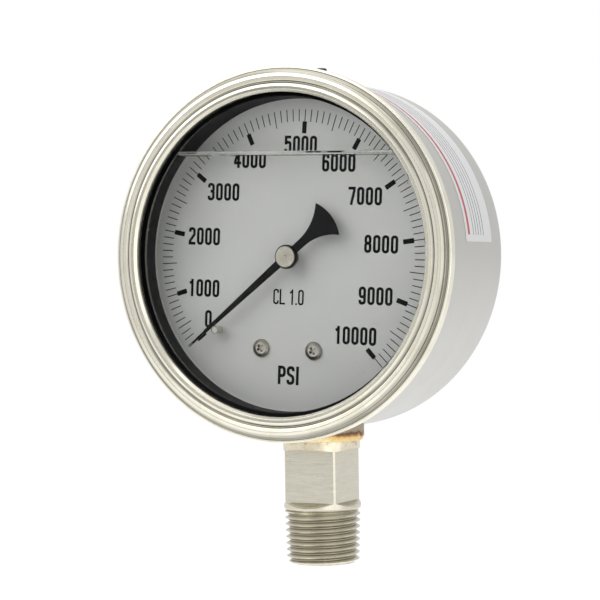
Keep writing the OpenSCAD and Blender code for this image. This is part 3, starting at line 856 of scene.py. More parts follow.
def milled_steel(name, colour, shade, scale, roughness, dent, tint=None):
    """Machined steel with straight tool lines. A tint adds heat tint, scorch and painted shade in the thread
    roots.
    """
    material, tree, shader = new_material(name, Metallic=1.0)
    place = surface_place(tree)
    grain = use_group(tree, "Line Grain", {"Vector": place, "Scale": scale})
    broad = use_group(tree, "Line Grain", {"Vector": place, "Scale": tuple(0.16 * part for part in scale)})
    cloud = use_group(tree, "Blotches", {"Vector": place, "Scale": 140.0, "From": 0.4, "To": 0.75})
    wear = use_group(tree, "Edge Wear", {"Vector": place, "Reach": 0.58})
    tone = mixed(tree, stretched(tree, grain.outputs["Grain"], 0.3, 0.7, 0.0, 1.0), shade, colour)
    tone = mixed(tree, stretched(tree, broad.outputs["Grain"], 0.35, 0.75, 0.0, 0.4), tone, shade)
    if tint:
        parts = add_node(tree, "ShaderNodeSeparateXYZ", {"Vector": place})
        wander = math_node(tree, "MULTIPLY", cloud.outputs["Mask"], 1.6 * MM)
        height = math_node(tree, "ADD", parts.outputs["Z"], wander)
        share = stretched(tree, height, TINT_LOW, TINT_HIGH, 0.0, 0.75)
        tone = mixed(tree, share, tone, tint)
        scorch = use_group(tree, "Blotches", {"Vector": place, "Scale": 420.0, "From": 0.52, "To": 0.6})
        band = stretched(tree, parts.outputs["Z"], SCORCH_LOW, SCORCH_HIGH, 0.0, 0.7)
        # Painted shade: below the flats, the thread roots are darkened by their small radius.
        flat = vector_math(tree, "MULTIPLY", place, (1.0, 1.0, 0.0))
        radius = vector_math(tree, "LENGTH", flat.outputs["Vector"]).outputs["Value"]
        even = math_node(tree, "MULTIPLY_ADD", parts.outputs["Z"], -THREAD_TAPER, radius)
        root_shade = stretched(tree, even, 9.2 * MM, 9.9 * MM, 0.6, 0.0)
        below_flats = math_node(tree, "LESS_THAN", parts.outputs["Z"], ROOT_SHADE_TOP)
        root_shade = math_node(tree, "MULTIPLY", root_shade, below_flats)
        tone = mixed(tree, root_shade, tone, (0.22, 0.19, 0.13))
        dark = math_node(tree, "MULTIPLY", scorch.outputs["Mask"], band)
        tone = mixed(tree, dark, tone, (0.14, 0.10, 0.06))
    bright = tuple(min(1.0, 1.25 * part) for part in colour)
    final = mixed(tree, math_node(tree, "MULTIPLY", wear.outputs["Mask"], 0.6), tone, bright)
    tree.links.new(final, shader.inputs["Base Color"])
    rough = stretched(tree, grain.outputs["Grain"], 0.2, 0.8, roughness - 0.07, roughness + 0.07)
    tree.links.new(rough, shader.inputs["Roughness"])
    bump(tree, shader, grain.outputs["Grain"], 1.0, dent)
    return material


def weld_metal(name, gold, centre):
    """Weld metal whose heat tint runs from pale straw to gold, brown and violet."""
    material, tree, shader = new_material(name, Metallic=1.0)
    place = surface_place(tree, centre)
    parts = add_node(tree, "ShaderNodeSeparateXYZ", {"Vector": place})
    cloud = add_node(
        tree,
        "ShaderNodeTexNoise",
        {"Vector": place, "Scale": 160.0, "Detail": 4.0, "Distortion": 0.8},
    )
    side = stretched(tree, parts.outputs["X"], -6 * MM, 11 * MM, 0.0, 0.32)
    rise = stretched(tree, parts.outputs["Z"], -0.6 * MM, 3.4 * MM, 0.0, 0.5)
    heat = math_node(tree, "ADD", math_node(tree, "ADD", side, rise), -0.2)
    heat = math_node(tree, "ADD", heat, math_node(tree, "MULTIPLY", cloud.outputs["Fac"], 0.45))
    tone = ramp(
        tree,
        heat,
        [
            (0.16, (0.66, 0.60, 0.44)),
            (0.36, (0.82, 0.68, 0.38)),
            (0.60, gold),
            (0.68, (0.36, 0.18, 0.06)),
            (0.74, (0.12, 0.06, 0.06)),
            (0.84, (0.36, 0.30, 0.21)),
        ],
    )
    fine = add_node(tree, "ShaderNodeTexNoise", {"Vector": place, "Scale": 1400.0, "Detail": 3.0})
    final = mixed(tree, stretched(tree, fine.outputs["Fac"], 0.4, 0.7, 0.0, 0.25), tone, (0.20, 0.15, 0.10))
    tree.links.new(final, shader.inputs["Base Color"])
    rough = stretched(tree, cloud.outputs["Fac"], 0.3, 0.7, 0.22, 0.42)
    tree.links.new(rough, shader.inputs["Roughness"])
    bump(tree, shader, fine.outputs["Fac"], 0.6, 0.05 * MM)
    return material


def rubber(name, colour, specks, gloss=0.5):
    """Matt rubber with a fine skin, paler worn edges and a little dust."""
    material, tree, shader = new_material(name, Metallic=0.0, Specular_IOR_Level=gloss)
    place = surface_place(tree)
    cloud = use_group(tree, "Blotches", {"Vector": place, "Scale": 120.0, "From": 0.35, "To": 0.75})
    dust = use_group(tree, "Specks", {"Vector": place, "Scale": 420.0, "Size": 0.14, "Share": specks})
    wear = use_group(tree, "Edge Wear", {"Vector": place, "Reach": 0.57})
    fine = add_node(tree, "ShaderNodeTexNoise", {"Vector": place, "Scale": 2600.0, "Detail": 3.0})
    lighter = tuple(1.5 * part + 0.003 for part in colour)
    tone = mixed(tree, cloud.outputs["Mask"], colour, lighter)
    tone = mixed(tree, math_node(tree, "MULTIPLY", wear.outputs["Mask"], 0.5), tone, (0.09, 0.09, 0.09))
    tone = mixed(tree, dust.outputs["Mask"], tone, (0.30, 0.31, 0.32))
    tree.links.new(tone, shader.inputs["Base Color"])
    rough = stretched(tree, fine.outputs["Fac"], 0.3, 0.7, 0.5, 0.72)
    tree.links.new(rough, shader.inputs["Roughness"])
    bump(tree, shader, fine.outputs["Fac"], 0.5, 0.02 * MM)
    return material


def paint(name, colour, roughness, speck_colour, speck_share, fade=0.0, low=0.0, high=1.0, gloss=0.5):
    """Smooth paint or card with a faint mottle and tiny specks, and painted shade that darkens it towards
    its low end.
    """
    material, tree, shader = new_material(name, Metallic=0.0, Specular_IOR_Level=gloss)
    place = surface_place(tree)
    parts = add_node(tree, "ShaderNodeSeparateXYZ", {"Vector": place})
    cloud = use_group(tree, "Blotches", {"Vector": place, "Scale": 60.0, "From": 0.3, "To": 0.8})
    dots = use_group(tree, "Specks", {"Vector": place, "Scale": 500.0, "Size": 0.12, "Share": speck_share})
    fine = add_node(tree, "ShaderNodeTexNoise", {"Vector": place, "Scale": 3000.0, "Detail": 2.0})
    darker = tuple(0.94 * part for part in colour)
    tone = mixed(tree, cloud.outputs["Mask"], colour, darker)
    # Painted shade: the colour darkens towards the low end, by height.
    painted_bottom_shade = stretched(tree, parts.outputs["Z"], low, high, fade, 0.0)
    tone = mixed(tree, painted_bottom_shade, tone, tuple(0.5 * part for part in colour))
    tone = mixed(tree, dots.outputs["Mask"], tone, speck_colour)
    tree.links.new(tone, shader.inputs["Base Color"])
    rough = stretched(tree, fine.outputs["Fac"], 0.3, 0.7, roughness - 0.05, roughness + 0.05)
    tree.links.new(rough, shader.inputs["Roughness"])
    bump(tree, shader, fine.outputs["Fac"], 0.4, 0.006 * MM)
    return material


def clear(name, ior, colour, edge_colour, level=0.0, lean=0.0):
    """Clear glass or liquid that lets the lamps through, with faint smears.

    Where a level is given, a broken dark line of painted shade runs along it, for the meniscus's dark edge.
    """
    material, tree, shader = new_material(name, Metallic=0.0, IOR=ior, Transmission_Weight=1.0)
    place = surface_place(tree)
    smear = use_group(tree, "Blotches", {"Vector": place, "Scale": 45.0, "From": 0.45, "To": 0.8})
    tone = mixed(tree, smear.outputs["Mask"], colour, edge_colour)
    if level:
        upright = surface_place(tree, (0.0, 0.0, level), (0.0, -lean, 0.0))
        parts = add_node(tree, "ShaderNodeSeparateXYZ", {"Vector": upright})
        broken = use_group(tree, "Blotches", {"Vector": place, "Scale": 110.0, "From": 0.62, "To": 0.66})
        # Painted shade: a thin dark band at the level stands in for the meniscus's shadow and refraction.
        from_level = math_node(tree, "ABSOLUTE", parts.outputs["Z"])
        line = stretched(tree, from_level, 0.12 * MM, 0.24 * MM, 0.85, 0.0)
        whole = math_node(tree, "SUBTRACT", 1.0, broken.outputs["Mask"])
        tone = mixed(tree, math_node(tree, "MULTIPLY", line, whole), tone, (0.10, 0.09, 0.05))
    tree.links.new(tone, shader.inputs["Base Color"])
    rough = stretched(tree, smear.outputs["Mask"], 0.0, 1.0, 0.0, 0.012)
    tree.links.new(rough, shader.inputs["Roughness"])
    path = add_node(tree, "ShaderNodeLightPath")
    passing = add_node(tree, "ShaderNodeBsdfTransparent")
    mix = add_node(tree, "ShaderNodeMixShader", {0: path.outputs["Is Shadow Ray"]})
    tree.links.new(shader.outputs[0], mix.inputs[1])
    tree.links.new(passing.outputs[0], mix.inputs[2])
    tree.links.new(mix.outputs[0], tree.nodes["Material Output"].inputs["Surface"])
    return material


def seen_directly(tree, path):
    """1 for rays from the camera, off a reflection or through glass, and 0 for the others."""
    seen = math_node(tree, "MAXIMUM", path.outputs["Is Camera Ray"], path.outputs["Is Glossy Ray"])
    return math_node(tree, "MAXIMUM", seen, path.outputs["Is Transmission Ray"])


# ---- Drawing on the dial and the label ----
def draw_stroke(bm, path, width, closed=False):
    """Draws a line of a width along a flat path, by extruding the pen's edge between points."""
    count = len(path)
    pens = []
    for index, here in enumerate(path):
        legs = []
        if closed or index > 0:
            legs.append((here - path[index - 1]).normalized())
        if closed or index < count - 1:
            legs.append((path[(index + 1) % count] - here).normalized())
        heading = (legs[0] + legs[-1]).normalized()
        side = Vector((-heading.y, heading.x))
        spread = max(0.35, abs(side.dot(Vector((-legs[0].y, legs[0].x)))))
        reach = side * (0.5 * width / spread)
        pens.append((here + reach, here - reach))
    if closed:
        pens.append(pens[0])
    left, right = (Vector((point.x, 0, point.y)) for point in pens[0])
    pen = bm.edges.new((bm.verts.new(left), bm.verts.new(right)))
    for next_left, next_right in pens[1:]:
        made = bmesh.ops.extrude_edge_only(bm, edges=[pen])
        fresh = [item for item in made["geom"] if isinstance(item, bmesh.types.BMVert)]
        joints = [item for item in made["geom"] if isinstance(item, bmesh.types.BMEdge)]
        pen = next(item for item in joints if all(vert in fresh for vert in item.verts))
        goal_left = Vector((next_left.x, 0, next_left.y))
        goal_right = Vector((next_right.x, 0, next_right.y))
        for vert in fresh:
            vert.co = goal_left if (vert.co - left).length < (vert.co - right).length else goal_right
        left, right = goal_left, goal_right


def glyph_lines(letter, w, h, s):
    """The (corners, closed) pen lines of a condensed numeral or letter on a w by h box."""
    r = 0.46 * w
    e = s / 2
    top = h - 0.22 * h
    lines = {
        "0": [([(0, 0, r), (w, 0, r), (w, h, r), (0, h, r)], True)],
        "1": [
            ([(0.66 * w, -e, 0), (0.66 * w, h + e, 0)], False),
            ([(0.06 * w, 0.80 * h, 0), (0.66 * w, 0.93 * h, 0)], False),
        ],
        "2": [
            (
                [
                    (0, top, 0),
                    (0, h, r),
                    (w, h, r),
                    (w, 0.60 * h, 0.5 * r),
                    (0, 0.16 * h, 0.6 * r),
                    (0, e, 0),
                ],
                False,
            ),
            ([(-e, 0, 0), (w + e, 0, 0)], False),
        ],
        "3": [
            ([(0, top, 0), (0, h, r), (w, h, r), (w, 0.53 * h, r), (0.35 * w, 0.53 * h, 0)], False),
            ([(0.35 * w, 0.53 * h, 0), (w, 0.53 * h, r), (w, 0, r), (0, 0, r), (0, 0.22 * h, 0)], False),
        ],
        "4": [
            ([(0.74 * w, -e, 0), (0.74 * w, h + e, 0)], False),
            ([(0.60 * w, h + 0.4 * e, 0), (-0.1 * w, 0.24 * h, 0)], False),
            ([(-0.26 * w, 0.24 * h, 0), (w + 1.2 * e, 0.24 * h, 0)], False),
        ],
        "5": [
            ([(w + 0.6 * e, h, 0), (0.04 * w, h, 0), (0.04 * w, 0.50 * h, 0)], False),
            (
                [
                    (0.04 * w, 0.54 * h, 0),
                    (0.2 * w, 0.65 * h, 0.3 * r),
                    (w, 0.65 * h, r),
                    (w, 0, r),
                    (0, 0, r),
                    (0, 0.22 * h, 0),
                ],
                False,
            ),
        ],
        "6": [
            ([(0, 0, r), (w, 0, r), (w, 0.58 * h, r), (0, 0.58 * h, r)], True),
            ([(0, 0.3 * h, 0), (0, h, r), (w, h, r), (w, top, 0)], False),
        ],
        "7": [
            ([(-e, h, 0), (w, h, 0), (w, 0.86 * h, 0.6 * r), (0.36 * w, -e, 0)], False),
        ],
        "8": [
            ([(0, 0, r), (w, 0, r), (w, 0.53 * h, r), (0, 0.53 * h, r)], True),
            ([(0.04 * w, 0.53 * h, r), (0.96 * w, 0.53 * h, r), (0.96 * w, h, r), (0.04 * w, h, r)], True),
        ],
        "P": [
            ([(0, -e, 0), (0, h + e, 0)], False),
            ([(0, h, 0), (w, h, r), (w, 0.46 * h, r), (0, 0.46 * h, 0)], False),
        ],
        "S": [
            (
                [
                    (w, top, 0),
                    (w, h, r),
                    (0, h, r),
                    (0, 0.60 * h, r),
                    (w, 0.42 * h, r),
                    (w, 0, r),
                    (0, 0, r),
                    (0, 0.22 * h, 0),
                ],
                False,
            ),
        ],
        "I": [([(0.5 * w, -e, 0), (0.5 * w, h + e, 0)], False)],
        "C": [([(w, top, 0), (w, h, r), (0, h, r), (0, 0, r), (w, 0, r), (w, 0.22 * h, 0)], False)],
        "L": [([(0, h + e, 0), (0, 0, 0), (w + e, 0, 0)], False)],
        ".": [([(0.5 * w, -e, 0), (0.5 * w, e, 0)], False)],
        " ": [],
    }
    if letter == "9":
        turned_lines = []
        for corners, closed in glyph_lines("6", w, h, s):
            turned_lines.append(([(w - u, h - v, r) for u, v, r in corners], closed))
        return turned_lines
    return lines[letter]


def draw_words(bm, words, centre, height, width, pitch, stroke):
    """Draws a line of numerals or letters centred on a point of the dial."""
    narrow = {"I": 0.55, ".": 0.45, " ": 0.45}
    steps = [pitch * narrow.get(letter, 1.0) for letter in words]
    left = centre[0] - sum(steps) / 2
    w = width - stroke
    h = height - stroke
    for letter, step in zip(words, steps):
        origin = Vector((left + step / 2 - w / 2, centre[1] - h / 2))
        for corners, closed in glyph_lines(letter, w, h, stroke):
            path = [origin + point for point in rounded(corners, closed, 5, 0)]
            draw_stroke(bm, path, stroke, closed)
        left += step


def thickened(bm, depth):
    """Turns the flat ink faces of bm into closed shapes that stand forward of the dial."""
    for face in bm.faces:
        face.normal_update()
        if face.normal.y > 0:
            face.normal_flip()
    made = bmesh.ops.extrude_face_region(bm, geom=bm.faces[:], use_keep_orig=True)
    moved = [item for item in made["geom"] if isinstance(item, bmesh.types.BMVert)]
    bmesh.ops.translate(bm, verts=moved, vec=-Y_AXIS * depth)
    bmesh.ops.recalc_face_normals(bm, faces=bm.faces[:])


def dial_place(turn, depth):
    """The matrix from the dial's own flat frame, with its origin on the arbor, to the gauge."""
    return Matrix.Translation(ARBOR_AXIS + Y_AXIS * depth) @ Matrix.Rotation(turn, 4, "Y")


def add_mark(bm, place, angle, inner, outer, width, thickness, corner):
    """A printed bar that points at the dial's centre, with corners of a small radius."""
    length = outer - inner
    matrix = place @ Matrix.Rotation(-angle, 4, "Y") @ Matrix.Translation(X_AXIS * (inner + outer) / 2)
    stretch = Matrix.Diagonal((length, thickness, width, 1.0))
    made = bmesh.ops.create_cube(bm, size=1.0, matrix=matrix @ stretch)
    if corner:
        forward = matrix.to_3x3() @ Y_AXIS
        edges = {edge for vert in made["verts"] for edge in vert.link_edges}
        upright = [e for e in edges if abs((e.verts[0].co - e.verts[1].co).normalized().dot(forward)) > 0.9]
        bmesh.ops.bevel(
            bm,
            geom=upright,
            offset=corner,
            segments=3,
            affect="EDGES",
            profile=0.5,
            material=-1,
        )


# ---- Pieces ----
class GAUGE_OT_add_can(bpy.types.Operator):
    """Adds the satin steel can with its rounded rear corner"""

    bl_idname = "gauge.add_can"
    bl_label = "Can"

    def execute(self, context):
        can = context.scene.gauge_can
        radius = CASE[1].x
        front = CASE[0].y
        back = CASE[1].y
        inner = radius - can.wall
        stations = [front + (back - can.corner - front) * step / 10 for step in range(1, 10)]
        outside = [(radius, place, 0) for place in stations]
        inside = [(inner, place, 0) for place in reversed(stations)]
        corners = [
            (radius, front, 0.25 * MM),
            *outside,
            (radius, back, can.corner),
            (30 * MM, back, 0),
            (0, back, 0),
            (0, back - can.wall, 0),
            (30 * MM, back - can.wall, 0),
            (inner, back - can.wall, can.corner - can.wall),
            *inside,
            (inner, front, 0.2 * MM),
        ]
        bm = turned(bmesh.new(), rounded(corners, True, 8), Y_AXIS, CASE_AXIS, 192)
        neck = rod(context.scene.gauge_stem.radius + 0.1 * MM, STEM, CASE_AXIS, 96)
        bm = combined(bm, neck, "DIFFERENCE")
        hole = Vector((0, (PLUG[0].y + PLUG[1].y) / 2, CASE_AXIS.z))
        bm = combined(bm, rod(4 * MM, hole, hole + Z_AXIS * (radius + 5 * MM), 64), "DIFFERENCE")
        steel = turned_steel(
            "Satin can steel",
            tuple(can.steel),
            tuple(0.86 * part for part in can.steel),
            CASE_AXIS,
            ABOUT_Y,
            2600.0,
            0.36,
            0.06,
            0.004 * MM,
        )
        finish_piece("steel_can", bm, [steel], "case", ["case_shell"], 40)
        return {"FINISHED"}


class GAUGE_OT_add_bezel(bpy.types.Operator):
    """Adds the polished bezel with its two crowns and its flange"""

    bl_idname = "gauge.add_bezel"
    bl_label = "Bezel"

    def execute(self, context):
        can = context.scene.gauge_can
        face = BEZEL[0].y
        back = BEZEL[1].y
        flange = BEZEL[1].x
        step = face + 1.9 * MM
        seat = PANE[0].y
        hold = CASE[1].x + 0.1 * MM
        corners = [
            (can.lip, seat, 0.1 * MM),
            (can.lip, face + 0.95 * MM, 0.1 * MM),
            (can.lip + 0.62 * MM, face + 0.1 * MM, 0.15 * MM),
            (can.lip + 1.5 * MM, face, 0.7 * MM),
            (can.groove - 0.5 * MM, face + 0.16 * MM, 0.4 * MM),
            (can.groove, face + 0.62 * MM, 0.15 * MM),
            (can.groove + 0.45 * MM, face + 0.16 * MM, 0.3 * MM),
            (can.groove + 1.5 * MM, face, 0.8 * MM),
            (can.face - 0.5 * MM, face + 0.2 * MM, 0.5 * MM),
            (can.face, face + 0.75 * MM, 0.3 * MM),
            (can.face, step, 0.12 * MM),
            (can.face + 0.75 * MM, step + 0.12 * MM, 0.15 * MM),
            (can.face + 0.95 * MM, step - 0.02 * MM, 0.15 * MM),
            (flange, step, 0.3 * MM),
            (flange, back, 0.35 * MM),
            (hold, back, 0.1 * MM),
            (hold, seat, 0.0),
        ]
        bm = turned(bmesh.new(), rounded(corners, True, 6), Y_AXIS, CASE_AXIS, 256)
        steel = turned_steel(
            "Polished bezel steel",
            tuple(can.bright),
            tuple(0.9 * part for part in can.bright),
            CASE_AXIS,
            ABOUT_Y,
            4200.0,
            0.2,
            0.05,
            0.003 * MM,
            0.35,
            # Bands of painted shade: the colour darkens in the groove and on the step, where shade and dark
            # reflections fall.
            [
                (can.lip - 0.5 * MM, 0.95),
                (can.groove - 0.9 * MM, 0.95),
                (can.groove - 0.1 * MM, 0.42),
                (can.groove + 0.2 * MM, 0.5),
                (can.groove + 0.6 * MM, 0.95),
                (can.face - 0.9 * MM, 0.95),
                (can.face - 0.3 * MM, 0.6),
                (can.face + 0.05 * MM, 0.62),
                (can.face + 0.3 * MM, 0.36),
                (can.face + 0.8 * MM, 0.42),
                (can.face + 1.15 * MM, 1.0),
            ],
        )
        finish_piece("bezel", bm, [steel], "case", ["bezel_ring"], 50)
        return {"FINISHED"}


class GAUGE_OT_add_window(bpy.types.Operator):
    """Adds the glass, the black sleeve behind it and the liquid they hold"""

    bl_idname = "gauge.add_window"
    bl_label = "Window, sleeve and liquid"

    def execute(self, context):
        fill = context.scene.gauge_fill
        glass = clear("Window glass", 1.5, (1.0, 1.0, 1.0), (0.97, 0.98, 0.98))
        low, high = PANE
        corners = [
            (0, low.y, 0),
            (high.x, low.y, 0.3 * MM),
            (high.x, high.y, 0.3 * MM),
            (0, high.y, 0),
        ]
        bm = turned(bmesh.new(), rounded(corners, False, 3), Y_AXIS, CASE_AXIS, 128, False)
        finish_piece("glass_pane", bm, [glass], "case", ["window_pane"], 12)

        low, high = SLEEVE
        corners = [
            (fill.bore, low.y, 0.25 * MM),
            (high.x, low.y, 0.2 * MM),
            (high.x, high.y, 0.2 * MM),
            (fill.bore, high.y, 0.35 * MM),
        ]
        bm = turned(bmesh.new(), rounded(corners, True, 4), Y_AXIS, CASE_AXIS, 192)
        black = rubber("Sleeve rubber", tuple(fill.rubber), 0.05, 0.1)
        finish_piece("black_sleeve", bm, [black], "case", ["window_gasket"])
        self.add_liquid(fill)
        return {"FINISHED"}

    def add_liquid(self, fill):
        """The body of liquid, cut off at its level, with a rim that climbs the window and the dial."""
        front = PANE[1].y - 0.03 * MM
        back = DIAL[0].y + 0.05 * MM
        radius = fill.bore + 0.05 * MM
        bm = rod(radius, CASE_AXIS + Y_AXIS * front, CASE_AXIS + Y_AXIS * back, 192)
        air = bmesh.new()
        rim = []
        for step in range(25):
            place = front + (back - front) * step / 24
            climb = fill.climb * math.exp(-(place - front) / (0.9 * MM))
            climb += 0.5 * fill.climb * math.exp(-(back - place) / (0.8 * MM))
            rim.append((place, fill.level + climb))
        rim[0] = (front - MM, rim[0][1])
        rim[-1] = (back + MM, rim[-1][1])
        outline = [(front - MM, 0.15), *rim, (back + MM, 0.15)]
        verts = [air.verts.new((-0.06, place, height)) for place, height in outline]
        made = bmesh.ops.extrude_face_region(air, geom=[air.faces.new(verts)], use_keep_orig=True)
        moved = [item for item in made["geom"] if isinstance(item, bmesh.types.BMVert)]
        bmesh.ops.translate(air, verts=moved, vec=X_AXIS * 0.12)
        middle = Vector((0, 0, fill.level))
        lean = Matrix.Rotation(fill.lean, 4, "Y")
        bmesh.ops.rotate(air, verts=air.verts[:], cent=middle, matrix=lean)
        bm = combined(bm, air, "DIFFERENCE")
        # The liquid's colour carries a painted dark line at its level, for the meniscus's shade.
        oil = clear("Filling liquid", 1.47, (0.995, 0.998, 1.0), (0.985, 0.99, 0.99), fill.level, fill.lean)
        finish_piece("filling_liquid", bm, [oil], "case", (), 25)


class GAUGE_OT_add_plug(bpy.types.Operator):
    """Adds the rubber fill plug on top of the can"""

    bl_idname = "gauge.add_plug"
    bl_label = "Fill plug"

    def execute(self, context):
        fill = context.scene.gauge_fill
        low, high = PLUG
        axis = Vector((0, (low.y + high.y) / 2, 0))
        head = high.z - 2.3 * MM
        can = CASE[1].x
        corners = [
            (0, CASE_AXIS.z + can - 2.5 * MM, 0),
            (high.x, CASE_AXIS.z + can - 2.5 * MM, 0),
            (high.x, head, 0.7 * MM),
            (2.3 * MM, head, 0.5 * MM),
            (1.6 * MM, head + 0.4 * MM, 0.3 * MM),
            (1.6 * MM, high.z, 0.5 * MM),
            (0, high.z, 0),
        ]
        bm = turned(bmesh.new(), rounded(corners, False, 5), Z_AXIS, axis, 96, False)
        reach = Y_AXIS * 40 * MM
        bm = combined(bm, rod(can + 0.02 * MM, CASE_AXIS - reach, CASE_AXIS + reach, 256), "DIFFERENCE")
        foot = axis + Z_AXIS * low.z
        shank = rod(3.9 * MM, foot, axis + Z_AXIS * (head - 0.5 * MM), 64)
        bm = combined(bm, shank, "UNION")
        black = rubber("Plug rubber", tuple(fill.rubber), 0.02)
        finish_piece("rubber_plug", bm, [black], "case", ["fill_plug"], 40)
        return {"FINISHED"}


class GAUGE_OT_add_label(bpy.types.Operator):
    """Adds the plain white side label with its ruled lines"""

    bl_idname = "gauge.add_label"
    bl_label = "Side label"

    def strip(self, bm, radius, low, high, start, end, steps, thick):
        """A curved strip round the can between two places along it and two angles."""
        rows = max(1, round((high - low) / (2 * MM)))
        places = [low + (high - low) * row / rows for row in range(rows + 1)]
        heading = Vector((math.cos(start), 0, math.sin(start)))
        line = [bm.verts.new(CASE_AXIS + heading * radius + Y_AXIS * place) for place in places]
        edges = [bm.edges.new(pair) for pair in zip(line, line[1:])]
        before = set(bm.faces)
        bmesh.ops.spin(
            bm,
            geom=line + edges,
            cent=CASE_AXIS,
            axis=-Y_AXIS,
            dvec=(0, 0, 0),
            angle=end - start,
            steps=steps,
            use_duplicate=False,
        )
        sheet = [face for face in bm.faces if face not in before]
        for face in sheet:
            face.normal_update()
            if face.normal.dot(face.calc_center_median() - CASE_AXIS) < 0:
                face.normal_flip()
        bmesh.ops.solidify(bm, geom=sheet, thickness=-thick)

    def execute(self, context):
        fill = context.scene.gauge_fill
        low, high = LABEL
        radius = CASE[1].x + 0.02 * MM
        start = math.asin((low.z - CASE_AXIS.z) / (radius + 0.1 * MM))
        end = math.acos(low.x / radius)
        bm = bmesh.new()
        self.strip(bm, radius, low.y, high.y, start, end, 72, 0.09 * MM)
        tidy(bm)
        card = paint("Label card", tuple(fill.paper), 0.42, (0.7, 0.7, 0.7), 0.04)
        finish_piece("side_label", bm, [card], "case", ["case_label"], 60)

        bm = bmesh.new()
        outer = radius + 0.085 * MM
        edge = math.radians(2.2)
        for row in range(5):
            place = low.y + (5.2 + 1.75 * row) * MM
            self.strip(bm, outer, place, place + 0.32 * MM, start + edge, end - edge, 60, 0.015 * MM)
        tidy(bm)
        grey = paint("Rule ink", (0.16, 0.16, 0.17), 0.5, (0.3, 0.3, 0.3), 0.05)
        finish_piece("label_rules", bm, [grey], "case", (), 60)

        bm = bmesh.new()
        place = low.y + 1.5 * MM
        self.strip(bm, outer, place, place + 1.3 * MM, start + edge, end - edge, 60, 0.015 * MM)
        tidy(bm)
        red = paint("Red rule ink", (0.55, 0.10, 0.10), 0.5, (0.7, 0.4, 0.4), 0.05)
        finish_piece("label_red_rule", bm, [red], "case", (), 60)
        return {"FINISHED"}


